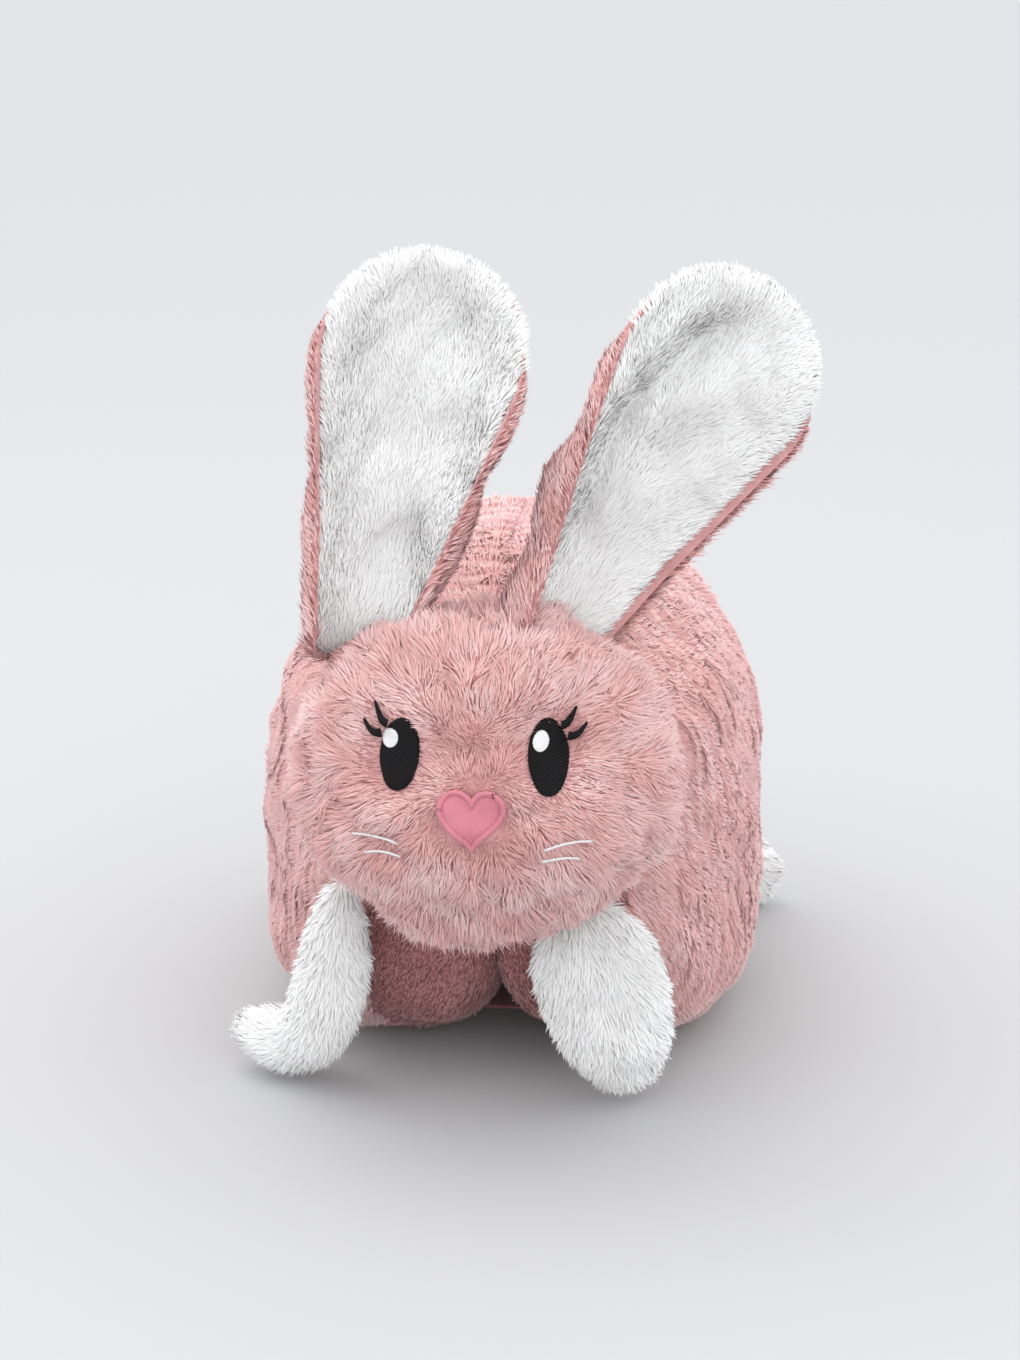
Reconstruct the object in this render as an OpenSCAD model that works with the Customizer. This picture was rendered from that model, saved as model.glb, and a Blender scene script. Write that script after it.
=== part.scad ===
// Fold-up plush rabbit. The rabbit faces -Y, its own left side is +X, and it rests on z = 0.
// A thick cushion is folded over along the spine. Its two lobes hang from the spine and open on
// hinge lines in the outer cover, at the rabbit's shoulders. Head, ears, paws and tail are sewn on.

/* [Body] */
// Width of the folded body across both lobes
body_w = 272; // [264:1:280]
// Height of the folded body, floor to spine
body_h = 275; // [270:1:280]
// Half the length of the rounded body
body_half_len = 155; // [150:1:160]
// Squareness of the body's rounded ends, where 2 is an ellipse
end_squareness = 2.8; // [2.5:0.1:3.2]
// How far the lobes sag flat against the floor
floor_sag = 6; // [4:0.5:8]
// Thickness of the plush cover with its pile pressed down
cover_t = 4; // [3:0.5:5]
// Angle of the fold line in the cover, measured up from the side
fold_angle = 45; // [40:1:50]

/* [Head] */
// Half the width of the head
head_half_w = 104; // [100:1:106]
// Half the height of the head
head_half_h = 88; // [85:1:89]
// Depth of the face in front of the head's side seam
face_depth = 64; // [60:1:66]
// Depth of the back of the head behind its side seam
nape_depth = 46; // [44:1:46]
// Height of the head's centre
head_z = 200; // [198:1:202]

/* [Ears] */
// Length of an ear
ear_len = 190; // [180:1:200]
// Radius of an ear's round tip
ear_tip_r = 53; // [48:1:56]
// Radius of an ear's narrow root
ear_root_r = 22; // [20:1:24]
// Thickness of each of an ear's two layers
ear_layer_t = 8; // [6:0.5:8]

/* [Paws] */
// Radius of a front paw's rounded edge
front_paw_r = 11; // [10:0.5:11]
// Radius of a rear foot's rounded edge
rear_foot_r = 15; // [13:0.5:15]
// Thickness of the paws' plush
paw_cover_t = 3; // [2:0.5:4]
// Radius of the tail
tail_r = 30; // [24:1:30]

/* [Strap] */
// Width of the closing strap
strap_w = 38; // [30:1:40]
// Thickness of the closing strap
strap_t = 2.5; // [2:0.1:2.6]

/* [Embroidery] */
// Height of an eye
eye_h = 37; // [34:1:40]
// Width of an eye
eye_w = 22; // [20:1:24]
// Height of the stitching above the plush
stitch_t = 1; // [0.6:0.1:1.2]
// Width of the heart nose
nose_w = 33; // [30:1:36]

/* [Hidden] */

pink = "#dc9c9c";
white_plush = "#f2f1ee";
fill_white = "#fbfaf6";
black_thread = "#17161a";
nose_pink = "#cf7489";

body_r = body_w / 2;
body_z = body_h - body_r;                    // height of the dome's centre line
below = body_z + floor_sag;                  // dome centre down to the unflattened underside
body_y = 20;                                 // middle of the body's length
inner_r = 42;                                // rounding of a lobe beside the cleft
outer_r = 60;                                // rounding of a lobe's outer bottom corner
lobe_gap = 0.4;                              // each lobe's distance from the mid plane
even_rings = 16;                             // evenly turned sections along the body
front_turn = 18.5;                           // where the sections start, as a turn of the end curve
back_turn = 175.9;                           // and where they end
seam_point = 4;                              // outline point where lining and side cover are sewn
pocket_point = 7;                            // outline point where the strap's hollow ends
last_point = 22;                             // outline point at the fold line

strap_y = 0;                                 // middle of the strap's width
strap_x = 46;                                // strap's sewn end, from the mid plane
strap_tip_x = 48;                            // strap's free end, from the mid plane
sewn_x = 58;                                 // outer edge of the strap's sewn end
joint_gap = 0.3;                             // clearance beside the strap's hinge line
strap_z = 0;                                 // strap's underside, level with the lobes' undersides
pocket_z = 5;                                // how far the strap presses into the lobes
pocket_x = 60;                               // how far that hollow reaches from the mid plane
pocket_half = strap_w / 2 + 2;               // half its length along the body
pocket_slope = 1;                            // length of the slope at its ends
tape_t = 1.2;                                // hook tape
patch_t = 1.1;                               // loop patch
patch_x = 18;                                // tape's and patch's inner edge, from the mid plane

seam_y = -178;                               // plane of the head's side seam
ear_y = -142;                                // plane between an ear's two layers
ear_root_z = 268;                            // height of the ears' hinge lines
head_fine = 36;                              // points round the head
head_rings = [0.97, 0.88, 0.74, 0.56, 0.36, 0.18, 0];   // sections of the head, pole to seam

// A closed solid through rings of points, each ring flat. Each four-sided face is split along one of
// its diagonals: a layer's rings run backwards inside, so it takes the other one to fit its filling.
module loft(rings, other_diagonal = false) {
    n = len(rings[0]);
    last = (len(rings) - 1) * n;
    polyhedron(
        points = [for (ring = rings) each ring],
        faces = concat(
            [[for (i = [0 : n - 1]) i]],
            [for (k = [0 : len(rings) - 2], i = [0 : n - 1])
                each let (a = k * n + i, b = k * n + (i + 1) % n)
                    other_diagonal ? [[a, a + n, b + n], [a, b + n, b]]
                                   : [[a, a + n, b], [b, a + n, b + n]]],
            [[for (i = [n - 1 : -1 : 0]) last + i]]));
}

function arc(centre, r, from, to, steps) =
    [for (i = [0 : steps]) let (a = from + (to - from) * i / steps) centre + r * [cos(a), sin(a)]];

// ---- body -------------------------------------------------------------------------------------

even_ys = [for (i = [0 : even_rings])
    body_y - body_half_len * cos(front_turn + (back_turn - front_turn) * i / even_rings)];
pocket_ys = [for (reach = [-pocket_half - pocket_slope, -pocket_half, pocket_half,
    pocket_half + pocket_slope]) strap_y + reach];
ring_spacing = 4;                            // least distance to the strap hollow's own sections
ring_ys = concat([for (y = even_ys) if (y < pocket_ys[0] - ring_spacing) y], pocket_ys,
                 [for (y = even_ys) if (y > pocket_ys[3] + ring_spacing) y]);

function body_scale(y) =
    pow(1 - pow(abs(y - body_y) / body_half_len, end_squareness), 1 / end_squareness);

// Outline of the left lobe at full size and a depth t inside the cover, seen from the front, from
// the dome's centre down the cleft, round the bottom and up the side to the fold line.
function lobe_outline(t) = concat(
    [[t, t]],
    arc([inner_r, inner_r - below], inner_r - t, 180, 270, 5),
    [[pocket_x, t - below]],
    arc([body_r - outer_r, outer_r - below], outer_r - t, 270, 360, 7),
    arc([0, 0], body_r - t, 0, fold_angle, 6));

function spine_outline(t) = arc([0, 0], body_r - t, fold_angle, 180 - fold_angle, 12);

// Lowest point of a lobe at outline point i: the floor, or the hollow that the strap presses in.
function lobe_floor(i, y) = abs(y - strap_y) <= pocket_half && i <= pocket_point ? pocket_z : 0;

function placed(outline, y, t) =
    [for (i = [0 : len(outline) - 1]) let (s = body_scale(y))
        [outline[i][0] * s, y, max(body_z + outline[i][1] * s, lobe_floor(i, y) + t)]];

function part_of(list, from, to) = [for (i = [from : to]) list[i]];
function backwards(list) = [for (i = [len(list) - 1 : -1 : 0]) list[i]];

module on_side(side) {
    translate([side * lobe_gap, 0, 0])
        if (side > 0) children(); else mirror([1, 0, 0]) children();
}

// A layer of the lobe's cover between two points of its outline.
module lobe_layer(from, to) {
    loft([for (y = ring_ys) concat(
        part_of(placed(lobe_outline(0), y, 0), from, to),
        backwards(part_of(placed(lobe_outline(cover_t), y, cover_t), from, to)))], true);
}

module side_cover(side) color(pink) on_side(side) lobe_layer(seam_point, last_point);

module belly_lining(side) color(pink) on_side(side) lobe_layer(0, seam_point);

module lobe_stuffing(side) color(fill_white) on_side(side)
    loft([for (y = ring_ys) placed(lobe_outline(cover_t), y, cover_t)]);

module spine_cover() color(pink)
    loft([for (y = ring_ys) concat(
        placed(spine_outline(0), y, 0), backwards(placed(spine_outline(cover_t), y, 0)))], true);

module spine_stuffing() color(fill_white)
    loft([for (y = ring_ys) concat([[0, y, body_z]], placed(spine_outline(cover_t), y, 0))]);

// ---- strap ------------------------------------------------------------------------------------

module strap_bar(x0, x1, z0, z1) {
    translate([x0, strap_y - strap_w / 2, z0]) cube([x1 - x0, strap_w, z1 - z0]);
}

module closing_strap() color(pink) strap_bar(-strap_x, strap_tip_x, strap_z, strap_z + strap_t);

module strap_hook_tape() color(white_plush)
    strap_bar(patch_x, strap_tip_x, strap_z + strap_t, strap_z + strap_t + tape_t);

module strap_sewn_end() color(pink)
    strap_bar(-sewn_x, -strap_x - joint_gap, strap_z, pocket_z);

module strap_loop_patch() color(white_plush)
    strap_bar(patch_x, strap_tip_x, pocket_z - patch_t, pocket_z);

// ---- head -------------------------------------------------------------------------------------

// One ring of the head: u runs from -1 at the face to 1 at the nape, inset inside the surface.
function head_ring(u, inset) = let (r = sqrt(1 - u * u), depth = u < 0 ? face_depth : nape_depth)
    [for (i = [0 : head_fine - 1]) let (a = 360 * i / head_fine)
        [(head_half_w - inset) * r * cos(a), seam_y + (depth - inset) * u,
         head_z + (head_half_h - inset) * r * sin(a)]];

module head_face_cover() color(pink)
    loft(concat([for (u = head_rings) head_ring(-u, 0)],
                [for (u = backwards(head_rings)) head_ring(-u, cover_t)]));

module head_back_cover() color(pink)
    loft(concat([for (u = head_rings) head_ring(u, cover_t)],
                [for (u = backwards(head_rings)) head_ring(u, 0)]));

module head_stuffing() color(fill_white)
    loft(concat([for (u = head_rings) head_ring(-u, cover_t)],
                [for (u = part_of(backwards(head_rings), 1, len(head_rings) - 1))
                    head_ring(u, cover_t)]));

module neck_seam() color(pink) {
    seam_ring_r = 40;
    thread_r = 1;
    translate([0, body_y - body_half_len * cos(front_turn) - thread_r, head_z])
        rotate([90, 0, 0]) rotate_extrude() translate([seam_ring_r, 0]) circle(r = thread_r, $fn = 24);
}

// ---- face embroidery --------------------------------------------------------------------------

// Point of the face in front of (x, z), raised off the plush.
function on_face(p, raised) =
    [p[0], seam_y - face_depth * sqrt(1 - pow(p[0] / head_half_w, 2)
        - pow((p[1] - head_z) / head_half_h, 2)) - raised, p[1]];

// A patch of satin stitch that lies on the face: outline is star-shaped about its centre.
module face_patch(centre, outline, low, high) {
    shares = [0.02, 0.35, 0.7, 1];
    loft(concat(
        [for (s = shares) [for (p = outline) on_face(centre + s * p, high)]],
        [for (s = backwards(shares)) [for (p = outline) on_face(centre + s * p, low)]]));
}

// A line of thread laid on the face through a few points.
module face_stroke(path, width) {
    last = len(path) - 1;
    loft([for (i = [0 : last])
        let (ahead = path[min(i + 1, last)] - path[max(i - 1, 0)],
             across = [-ahead[1], ahead[0]] / norm(ahead) * width / 2)
        [on_face(path[i] - across, 0), on_face(path[i] - across, stitch_t),
         on_face(path[i] + across, stitch_t), on_face(path[i] + across, 0)]]);
}

function turned(p, a) = [p[0] * cos(a) - p[1] * sin(a), p[0] * sin(a) + p[1] * cos(a)];
function oval(w, h, lean, n) =
    [for (i = [0 : n - 1]) turned([w / 2 * cos(360 * i / n), h / 2 * sin(360 * i / n)], lean)];
// A heart about its middle, one unit wide.
function heart(w, n) = [for (i = [0 : n - 1]) let (a = 90 - 360 * (i + 0.5) / n)
    w * [pow(sin(a), 3) / 2 * -1, (13 * cos(a) - 5 * cos(2 * a) - 2 * cos(3 * a) - cos(4 * a)) / 32]];

eye_x = 35.5;
eye_z = 226;
eye_lean = 6;
nose_z = 200;

function eye_place(side) = [side * eye_x, eye_z];

module eye_patch(side) color(black_thread)
    face_patch(eye_place(side), oval(eye_w, eye_h, eye_lean * side, 28), 0, stitch_t);

module eye_highlight(side) color(white_plush)
    face_patch(eye_place(side) + [-4, 7], oval(7, 9, 0, 16), stitch_t, stitch_t + 0.4);

module eyelashes(side) color(black_thread)
    for (lash = [[10, 12, 20, 16], [7.5, 16, 14, 24]]) {
        root = eye_place(side) + [side * lash[0], lash[1]];
        tip = eye_place(side) + [side * lash[2], lash[3]];
        face_stroke([root + 0.35 * (tip - root), (root + tip) / 2 + [side, -1], tip], 1.8);
    }

module nose_heart() color(nose_pink)
    face_patch([0, nose_z], heart(nose_w * 0.8, 36), 0, stitch_t);

module nose_border() color(nose_pink)
    difference() {
        face_patch([0, nose_z], heart(nose_w, 36), 0, stitch_t + 0.3);
        face_patch([0, nose_z], heart(nose_w * 0.81, 36), -1, stitch_t + 2);
    }

module whiskers(side) color(white_plush)
    for (line = [[32, -14, 66, -11], [30, -21, 54, -20]])
        face_stroke([for (i = [0 : 4]) [side * (line[0] + (line[2] - line[0]) * i / 4),
            nose_z + line[1] + (line[3] - line[1]) * i / 4 + 1.5 * sin(45 * i)]], 1.4);

// ---- ears -------------------------------------------------------------------------------------

// Outline of an ear that stands up from its root: a round tip, straight sides and a narrow root.
function ear_outline() =
    let (tip_y = ear_len - ear_tip_r, root_y = ear_root_r + 1,
         slope = asin((ear_tip_r - ear_root_r) / (tip_y - root_y)))
    concat(arc([0, tip_y], ear_tip_r, -slope, 180 + slope, 28),
           arc([0, root_y], ear_root_r, 180 + slope, 360 - slope, 14));

ear_x = [47, -58];                           // roots of the left and the right ear
ear_lean = [26, 10];                         // how far each leans towards the rabbit's left

function ear_of(side) = side > 0 ? 0 : 1;

module ear_layer(side, from) {
    translate([ear_x[ear_of(side)], ear_y, ear_root_z])
        rotate([0, ear_lean[ear_of(side)], 0]) rotate([90, 0, 0])
            translate([0, 0, from]) linear_extrude(ear_layer_t) polygon(ear_outline());
}

module ear_front(side) color(white_plush) ear_layer(side, 0);
module ear_back(side) color(pink) ear_layer(side, -ear_layer_t);

// ---- paws and tail ----------------------------------------------------------------------------

// The left front paw hangs straight, the right one bends outwards along the floor.
left_paw_limb = [[36, -142, 99], [64, -142, 116], [60, -135, 14], [80, -134, 24]];
right_paw_limb = [[-70, -140.5, 110], [-82, -140.5, 118], [-80, -135, 34], [-94, -133, 32]];
right_paw_foot = [[-84, -132, 15], [-90, -124, 15], [-130, -116, 14], [-128, -104, 14]];
rear_foot_pads = [[108, 150, 38], [134, 154, 16], [130, 140, 16]];

module ball_hull(centres, r) {
    hull() for (c = centres) translate(c) sphere(r = r, $fn = 20);
}

module front_paw_shape(side, r) {
    if (side > 0) ball_hull(left_paw_limb, r);
    else {
        ball_hull(right_paw_limb, r);
        ball_hull(right_paw_foot, r + 1.5);
    }
}

module front_paw_cover(side) color(white_plush)
    difference() {
        front_paw_shape(side, front_paw_r);
        front_paw_shape(side, front_paw_r - paw_cover_t);
    }

module front_paw_stuffing(side) color(fill_white) front_paw_shape(side, front_paw_r - paw_cover_t);

module rear_foot_shape(side, r) {
    ball_hull([for (c = rear_foot_pads) [side * c[0], c[1], c[2]]], r);
}

module rear_foot_cover(side) color(white_plush)
    difference() {
        rear_foot_shape(side, rear_foot_r);
        rear_foot_shape(side, rear_foot_r - paw_cover_t);
    }

module rear_foot_stuffing(side) color(fill_white) rear_foot_shape(side, rear_foot_r - paw_cover_t);

module tail_pompom() color(white_plush) {
    tail_y = 206;
    tail_z = 165;
    translate([0, tail_y, tail_z]) sphere(r = tail_r, $fn = 48);
}

spine_cover();
spine_stuffing();
side_cover(1);  // left_side_cover
belly_lining(1);  // left_belly_lining
lobe_stuffing(1);  // left_stuffing
side_cover(-1);  // right_side_cover
belly_lining(-1);  // right_belly_lining
lobe_stuffing(-1);  // right_stuffing
closing_strap();
strap_hook_tape();
strap_sewn_end();
strap_loop_patch();
head_face_cover();
head_back_cover();
head_stuffing();
neck_seam();
eye_patch(1);  // left_eye_patch
eye_patch(-1);  // right_eye_patch
eye_highlight(1);  // left_eye_highlight
eye_highlight(-1);  // right_eye_highlight
eyelashes(1);  // left_eyelashes
eyelashes(-1);  // right_eyelashes
nose_heart();
nose_border();
whiskers(1);  // left_whiskers
whiskers(-1);  // right_whiskers
ear_front(1);  // left_ear_front
ear_back(1);  // left_ear_back
ear_front(-1);  // right_ear_front
ear_back(-1);  // right_ear_back
front_paw_cover(1);  // left_front_paw_cover
front_paw_stuffing(1);  // left_front_paw_stuffing
front_paw_cover(-1);  // right_front_paw_cover
front_paw_stuffing(-1);  // right_front_paw_stuffing
rear_foot_cover(1);  // left_rear_foot_cover
rear_foot_stuffing(1);  // left_rear_foot_stuffing
rear_foot_cover(-1);  // right_rear_foot_cover
rear_foot_stuffing(-1);  // right_rear_foot_stuffing
tail_pompom();
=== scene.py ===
import logging
import math
from dataclasses import dataclass, field
from enum import Enum, IntEnum
from typing import Callable, Sequence

import bmesh
import bpy
import numpy as np
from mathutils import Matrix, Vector
from mathutils.bvhtree import BVHTree


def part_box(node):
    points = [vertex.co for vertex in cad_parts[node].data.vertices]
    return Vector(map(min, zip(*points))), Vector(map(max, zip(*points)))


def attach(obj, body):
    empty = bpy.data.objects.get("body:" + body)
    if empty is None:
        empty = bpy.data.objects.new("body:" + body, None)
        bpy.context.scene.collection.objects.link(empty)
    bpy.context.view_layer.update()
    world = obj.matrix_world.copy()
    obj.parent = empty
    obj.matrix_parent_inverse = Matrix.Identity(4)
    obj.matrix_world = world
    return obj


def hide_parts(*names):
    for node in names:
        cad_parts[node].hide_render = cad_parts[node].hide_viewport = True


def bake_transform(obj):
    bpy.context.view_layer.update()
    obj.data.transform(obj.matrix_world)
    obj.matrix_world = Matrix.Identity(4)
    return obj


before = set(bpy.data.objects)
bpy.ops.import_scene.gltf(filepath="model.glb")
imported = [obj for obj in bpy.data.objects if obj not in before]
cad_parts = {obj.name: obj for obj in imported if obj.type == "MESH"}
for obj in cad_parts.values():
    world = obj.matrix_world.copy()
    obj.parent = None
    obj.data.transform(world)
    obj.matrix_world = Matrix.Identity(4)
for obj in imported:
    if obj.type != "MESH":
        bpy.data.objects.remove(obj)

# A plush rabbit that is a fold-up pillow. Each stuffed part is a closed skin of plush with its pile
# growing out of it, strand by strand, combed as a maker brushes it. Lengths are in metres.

Array = np.ndarray
Form = Callable[[Array], Array]
Field = Callable[[Array, Array], Array]
Colour = tuple[float, float, float]
Point = tuple[float, float, float]
Piece = bpy.types.Object

log = logging.getLogger("plush_rabbit")

MOST_STRANDS = 38000                # strands in one piece of pile
FLOOR_CLEARANCE = 0.0008            # lowest that a strand lies
TINT_PATCH = 0.03                   # size of a pile's lighter and darker patches
EYE_BARE, NOSE_BARE = 0.72, 0.84    # shares of a stitched patch's size with no pile under it


def unit(vectors: Array) -> Array:
    """Returns the vectors scaled to length one."""
    return vectors / np.maximum(np.linalg.norm(vectors, axis=-1, keepdims=True), 1e-9)


def ease(x: Array, low: float, high: float) -> Array:
    """Returns a smooth step from 0 at low to 1 at high."""
    t = np.clip((np.asarray(x, float) - low) / (high - low), 0.0, 1.0)
    return t * t * (3.0 - 2.0 * t)


def bell(x: Array, width: float) -> Array:
    """Returns a bell curve that is 1 at x = 0 and falls off over width."""
    return np.exp(-(np.asarray(x, float) / width) ** 2)


class Side(Enum):
    """The rabbit's own sides; +X is its left."""

    LEFT = 1
    RIGHT = -1

    @property
    def word(self) -> str:
        """The side's name as it stands in the names of pieces."""
        return self.name.lower()


class Seed(IntEnum):
    """Where each piece's own random numbers start."""

    LOBE_LUMPS = 11
    LOBE_DENTS = 12
    HEAD_LUMPS = 21
    HEAD_DENTS = 22
    HEAD_LOCKS = 25
    EAR_LUMPS = 31
    EAR_DENTS = 32
    EAR_LOCKS = 33
    HOOPS = 41
    TAIL_LUMPS = 71
    TAIL_LOCKS = 72
    SIDE_PILE = 100
    BELLY_NAP = 120
    HEAD_PILE = 200
    EAR_PILE = 300
    TAIL_PILE = 400
    LEFT_PAW = 501
    RIGHT_PAW = 502
    FOOT = 510


class Layer(Enum):
    """The two layers that an ear is sewn from."""

    FRONT = 1
    BACK = -1


@dataclass(frozen=True)
class Ripple:
    """A smooth random field of sine waves, the same at every run."""

    wavelength: float
    seed: int
    waves: int = 11

    def _waves(self) -> tuple[Array, Array]:
        """Returns the waves' vectors and phases."""
        rng = np.random.default_rng(self.seed)
        ways = unit(rng.normal(size=(self.waves, 3)))
        stretch = rng.uniform(0.65, 1.35, size=(self.waves, 1))
        return ways * stretch * 2.0 * math.pi / self.wavelength, rng.uniform(0, 6.28, self.waves)

    def value(self, points: Array) -> Array:
        """Returns the field at the points, about one in size."""
        waves, phases = self._waves()
        return np.sin(points @ waves.T + phases).sum(axis=1) * math.sqrt(2.0 / self.waves)

    def slope(self, points: Array) -> Array:
        """Returns the way in which the field rises at the points, about one in size."""
        waves, phases = self._waves()
        rise = np.cos(points @ waves.T + phases) @ unit(waves)
        return rise * math.sqrt(2.0 / self.waves)


# ---- finishes ---------------------------------------------------------------------------------


class NodeTree:
    """A material's nodes, with its Principled shader ready to be set and linked."""

    def __init__(self, name: str) -> None:
        """Makes the material.

        Args:
            name: The material's name.
        """
        self.material = bpy.data.materials.new(name)
        self.material.use_nodes = True
        self.nodes = self.material.node_tree.nodes
        self.shader = self.nodes["Principled BSDF"]

    def add(self, kind: str, **values: object) -> bpy.types.Node:
        """Adds a node and sets its properties and input values.

        Args:
            kind: The node's type without its ShaderNode prefix.
            values: Properties by name, or inputs by name with spaces as underscores.

        Returns:
            The new node.
        """
        node = self.nodes.new("ShaderNode" + kind)
        for name, value in values.items():
            if hasattr(node, name):
                setattr(node, name, value)
            else:
                node.inputs[name.replace("_", " ")].default_value = value
        return node

    def link(self, output: bpy.types.NodeSocket, target: bpy.types.NodeSocket) -> None:
        """Joins an output to an input."""
        self.material.node_tree.links.new(output, target)

    def set(self, **values: object) -> None:
        """Sets the shader's own sockets."""
        for name, value in values.items():
            self.shader.inputs[name.replace("_", " ")].default_value = value

    def ramp(self, factor: bpy.types.NodeSocket, low: Colour, high: Colour,
             ends: tuple[float, float] = (0.35, 0.65)) -> bpy.types.NodeSocket:
        """Adds a two-colour ramp.

        Args:
            factor: What drives it.
            low: The colour at the low end.
            high: The colour at the high end.
            ends: Where the two colours stand on the ramp.

        Returns:
            The ramp's colour output.
        """
        ramp = self.add("ValToRGB")
        for element, place, colour in zip(ramp.color_ramp.elements, ends, (low, high)):
            element.position = place
            element.color = (*colour, 1.0)
        self.link(factor, ramp.inputs["Fac"])
        return ramp.outputs["Color"]

    def bump(self, height: bpy.types.NodeSocket, strength: float, distance: float) -> None:
        """Raises the surface's relief from a height."""
        bump = self.add("Bump", Strength=strength, Distance=distance)
        self.link(height, bump.inputs["Height"])
        self.link(bump.outputs["Normal"], self.shader.inputs["Normal"])


@dataclass(frozen=True)
class PlushFinish:
    """A dyed polyester pile: the backing cloth it grows from, and its strands. Its deep colour is painted
    shade, the darkness down in the pile, laid on the strands' roots and on the backing.
    """

    name: str
    # deep: painted shade of the pile's depth, darker than the tips' tints
    deep: Colour
    shades: tuple[Colour, ...]
    roughness: float = 0.82
    sheen: float = 0.3

    def cloth(self) -> bpy.types.Material:
        """Returns the backing's material: mottled from the painted shade of the pile's depth to its darkest
        tint, with the grain of close pile.
        """
        tree = NodeTree(self.name + "_backing")
        tree.set(Roughness=0.95, Sheen_Weight=self.sheen, Sheen_Roughness=0.5)
        where = tree.add("TexCoord")
        patches = tree.add("TexNoise", Scale=70.0, Detail=6.0, Roughness=0.7)
        tree.link(where.outputs["Object"], patches.inputs["Vector"])
        colour = tree.ramp(patches.outputs["Fac"], self.deep, self.shades[-1])
        tree.link(colour, tree.shader.inputs["Base Color"])
        grain = tree.add("TexNoise", Scale=900.0, Detail=4.0, Roughness=0.65)
        tree.link(where.outputs["Object"], grain.inputs["Vector"])
        tree.bump(grain.outputs["Fac"], 0.5, 0.001)
        return tree.material

    def strands(self) -> list[bpy.types.Material]:
        """Returns the strands' materials: their roots in painted shade, then each tint of their tips."""
        made = []
        for index, colour in enumerate((self.deep, *self.shades)):
            tree = NodeTree(f"{self.name}_strand_{index}")
            tree.set(Base_Color=(*colour, 1.0), Roughness=self.roughness,
                     Sheen_Weight=self.sheen, Sheen_Roughness=0.45, Specular_IOR_Level=0.3)
            made.append(tree.material)
        return made


@dataclass(frozen=True)
class ThreadFinish:
    """Embroidery thread laid side by side."""

    name: str
    dark: Colour
    light: Colour
    pitch: float = 0.0007
    angle: float = 0.0
    along: bool = False
    gloss: float = 0.45
    sheen: float = 0.1

    def cloth(self) -> bpy.types.Material:
        """Returns the stitching's material: rows of thread with a soft gloss."""
        tree = NodeTree(self.name)
        tree.set(Roughness=0.42, Sheen_Weight=self.sheen, Specular_IOR_Level=self.gloss)
        if self.along:
            source = tree.add("Attribute", attribute_name="along").outputs["Vector"]
        else:
            source = tree.add("TexCoord").outputs["Object"]
        turn = tree.add("Mapping")
        turn.inputs["Rotation"].default_value = (0.0, self.angle, 0.0)
        tree.link(source, turn.inputs["Vector"])
        rows = tree.add("TexWave", bands_direction="X", Scale=0.31 / self.pitch,
                        Distortion=0.8, Detail=2.0, Detail_Scale=3.0)
        tree.link(turn.outputs["Vector"], rows.inputs["Vector"])
        colour = tree.ramp(rows.outputs["Fac"], self.dark, self.light, (0.1, 0.9))
        tree.link(colour, tree.shader.inputs["Base Color"])
        tree.bump(rows.outputs["Fac"], 0.7, 0.0006)
        return tree.material


@dataclass(frozen=True)
class FibreFinish:
    """Loose hollow-fibre filling."""

    name: str
    colour: Colour

    def cloth(self) -> bpy.types.Material:
        """Returns the filling's material: matt, tangled and slightly uneven."""
        tree = NodeTree(self.name)
        tree.set(Roughness=1.0, Sheen_Weight=0.5)
        tangle = tree.add("TexNoise", Scale=240.0, Detail=8.0, Roughness=0.75, Distortion=1.4)
        tree.link(tree.add("TexCoord").outputs["Object"], tangle.inputs["Vector"])
        darker = tuple(0.86 * c for c in self.colour)
        tree.link(tree.ramp(tangle.outputs["Fac"], darker, self.colour),
                  tree.shader.inputs["Base Color"])
        tree.bump(tangle.outputs["Fac"], 0.8, 0.002)
        return tree.material


@dataclass(frozen=True)
class TapeFinish:
    """Woven nylon tape with hooks or loops."""

    name: str
    colour: Colour
    grain: float

    def cloth(self) -> bpy.types.Material:
        """Returns the tape's material: rows of small hooks or a fuzz of loops."""
        tree = NodeTree(self.name)
        tree.set(Roughness=0.55, Specular_IOR_Level=0.4)
        cells = tree.add("TexVoronoi", Scale=self.grain, Randomness=0.35)
        tree.link(tree.add("TexCoord").outputs["Object"], cells.inputs["Vector"])
        darker = tuple(0.75 * c for c in self.colour)
        tree.link(tree.ramp(cells.outputs["Distance"], self.colour, darker, (0.1, 0.8)),
                  tree.shader.inputs["Base Color"])
        tree.bump(cells.outputs["Distance"], -0.8, 0.0008)
        return tree.material


@dataclass(frozen=True)
class FloorFinish:
    """Pale seamless paper."""

    name: str
    colour: Colour

    def cloth(self) -> bpy.types.Material:
        """Returns the paper's material."""
        tree = NodeTree(self.name)
        tree.set(Base_Color=(*self.colour, 1.0), Roughness=0.9, Specular_IOR_Level=0.2)
        return tree.material


# Each plush finish's first colour is painted shade for the depth of the pile; the rest are the tips' tints.
PINK = PlushFinish("pink_plush", (0.55, 0.265, 0.26),
                   ((0.76, 0.53, 0.515), (0.73, 0.465, 0.45), (0.70, 0.41, 0.397), (0.66, 0.355, 0.345)))
# The body's painted depth shade is lighter than the head's, so its pile shows fewer dark streaks.
BODY_PINK = PlushFinish("body_plush", (0.67, 0.36, 0.35),
                        ((0.77, 0.53, 0.515), (0.745, 0.485, 0.47), (0.72, 0.445, 0.43),
                         (0.69, 0.405, 0.393)))
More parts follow.
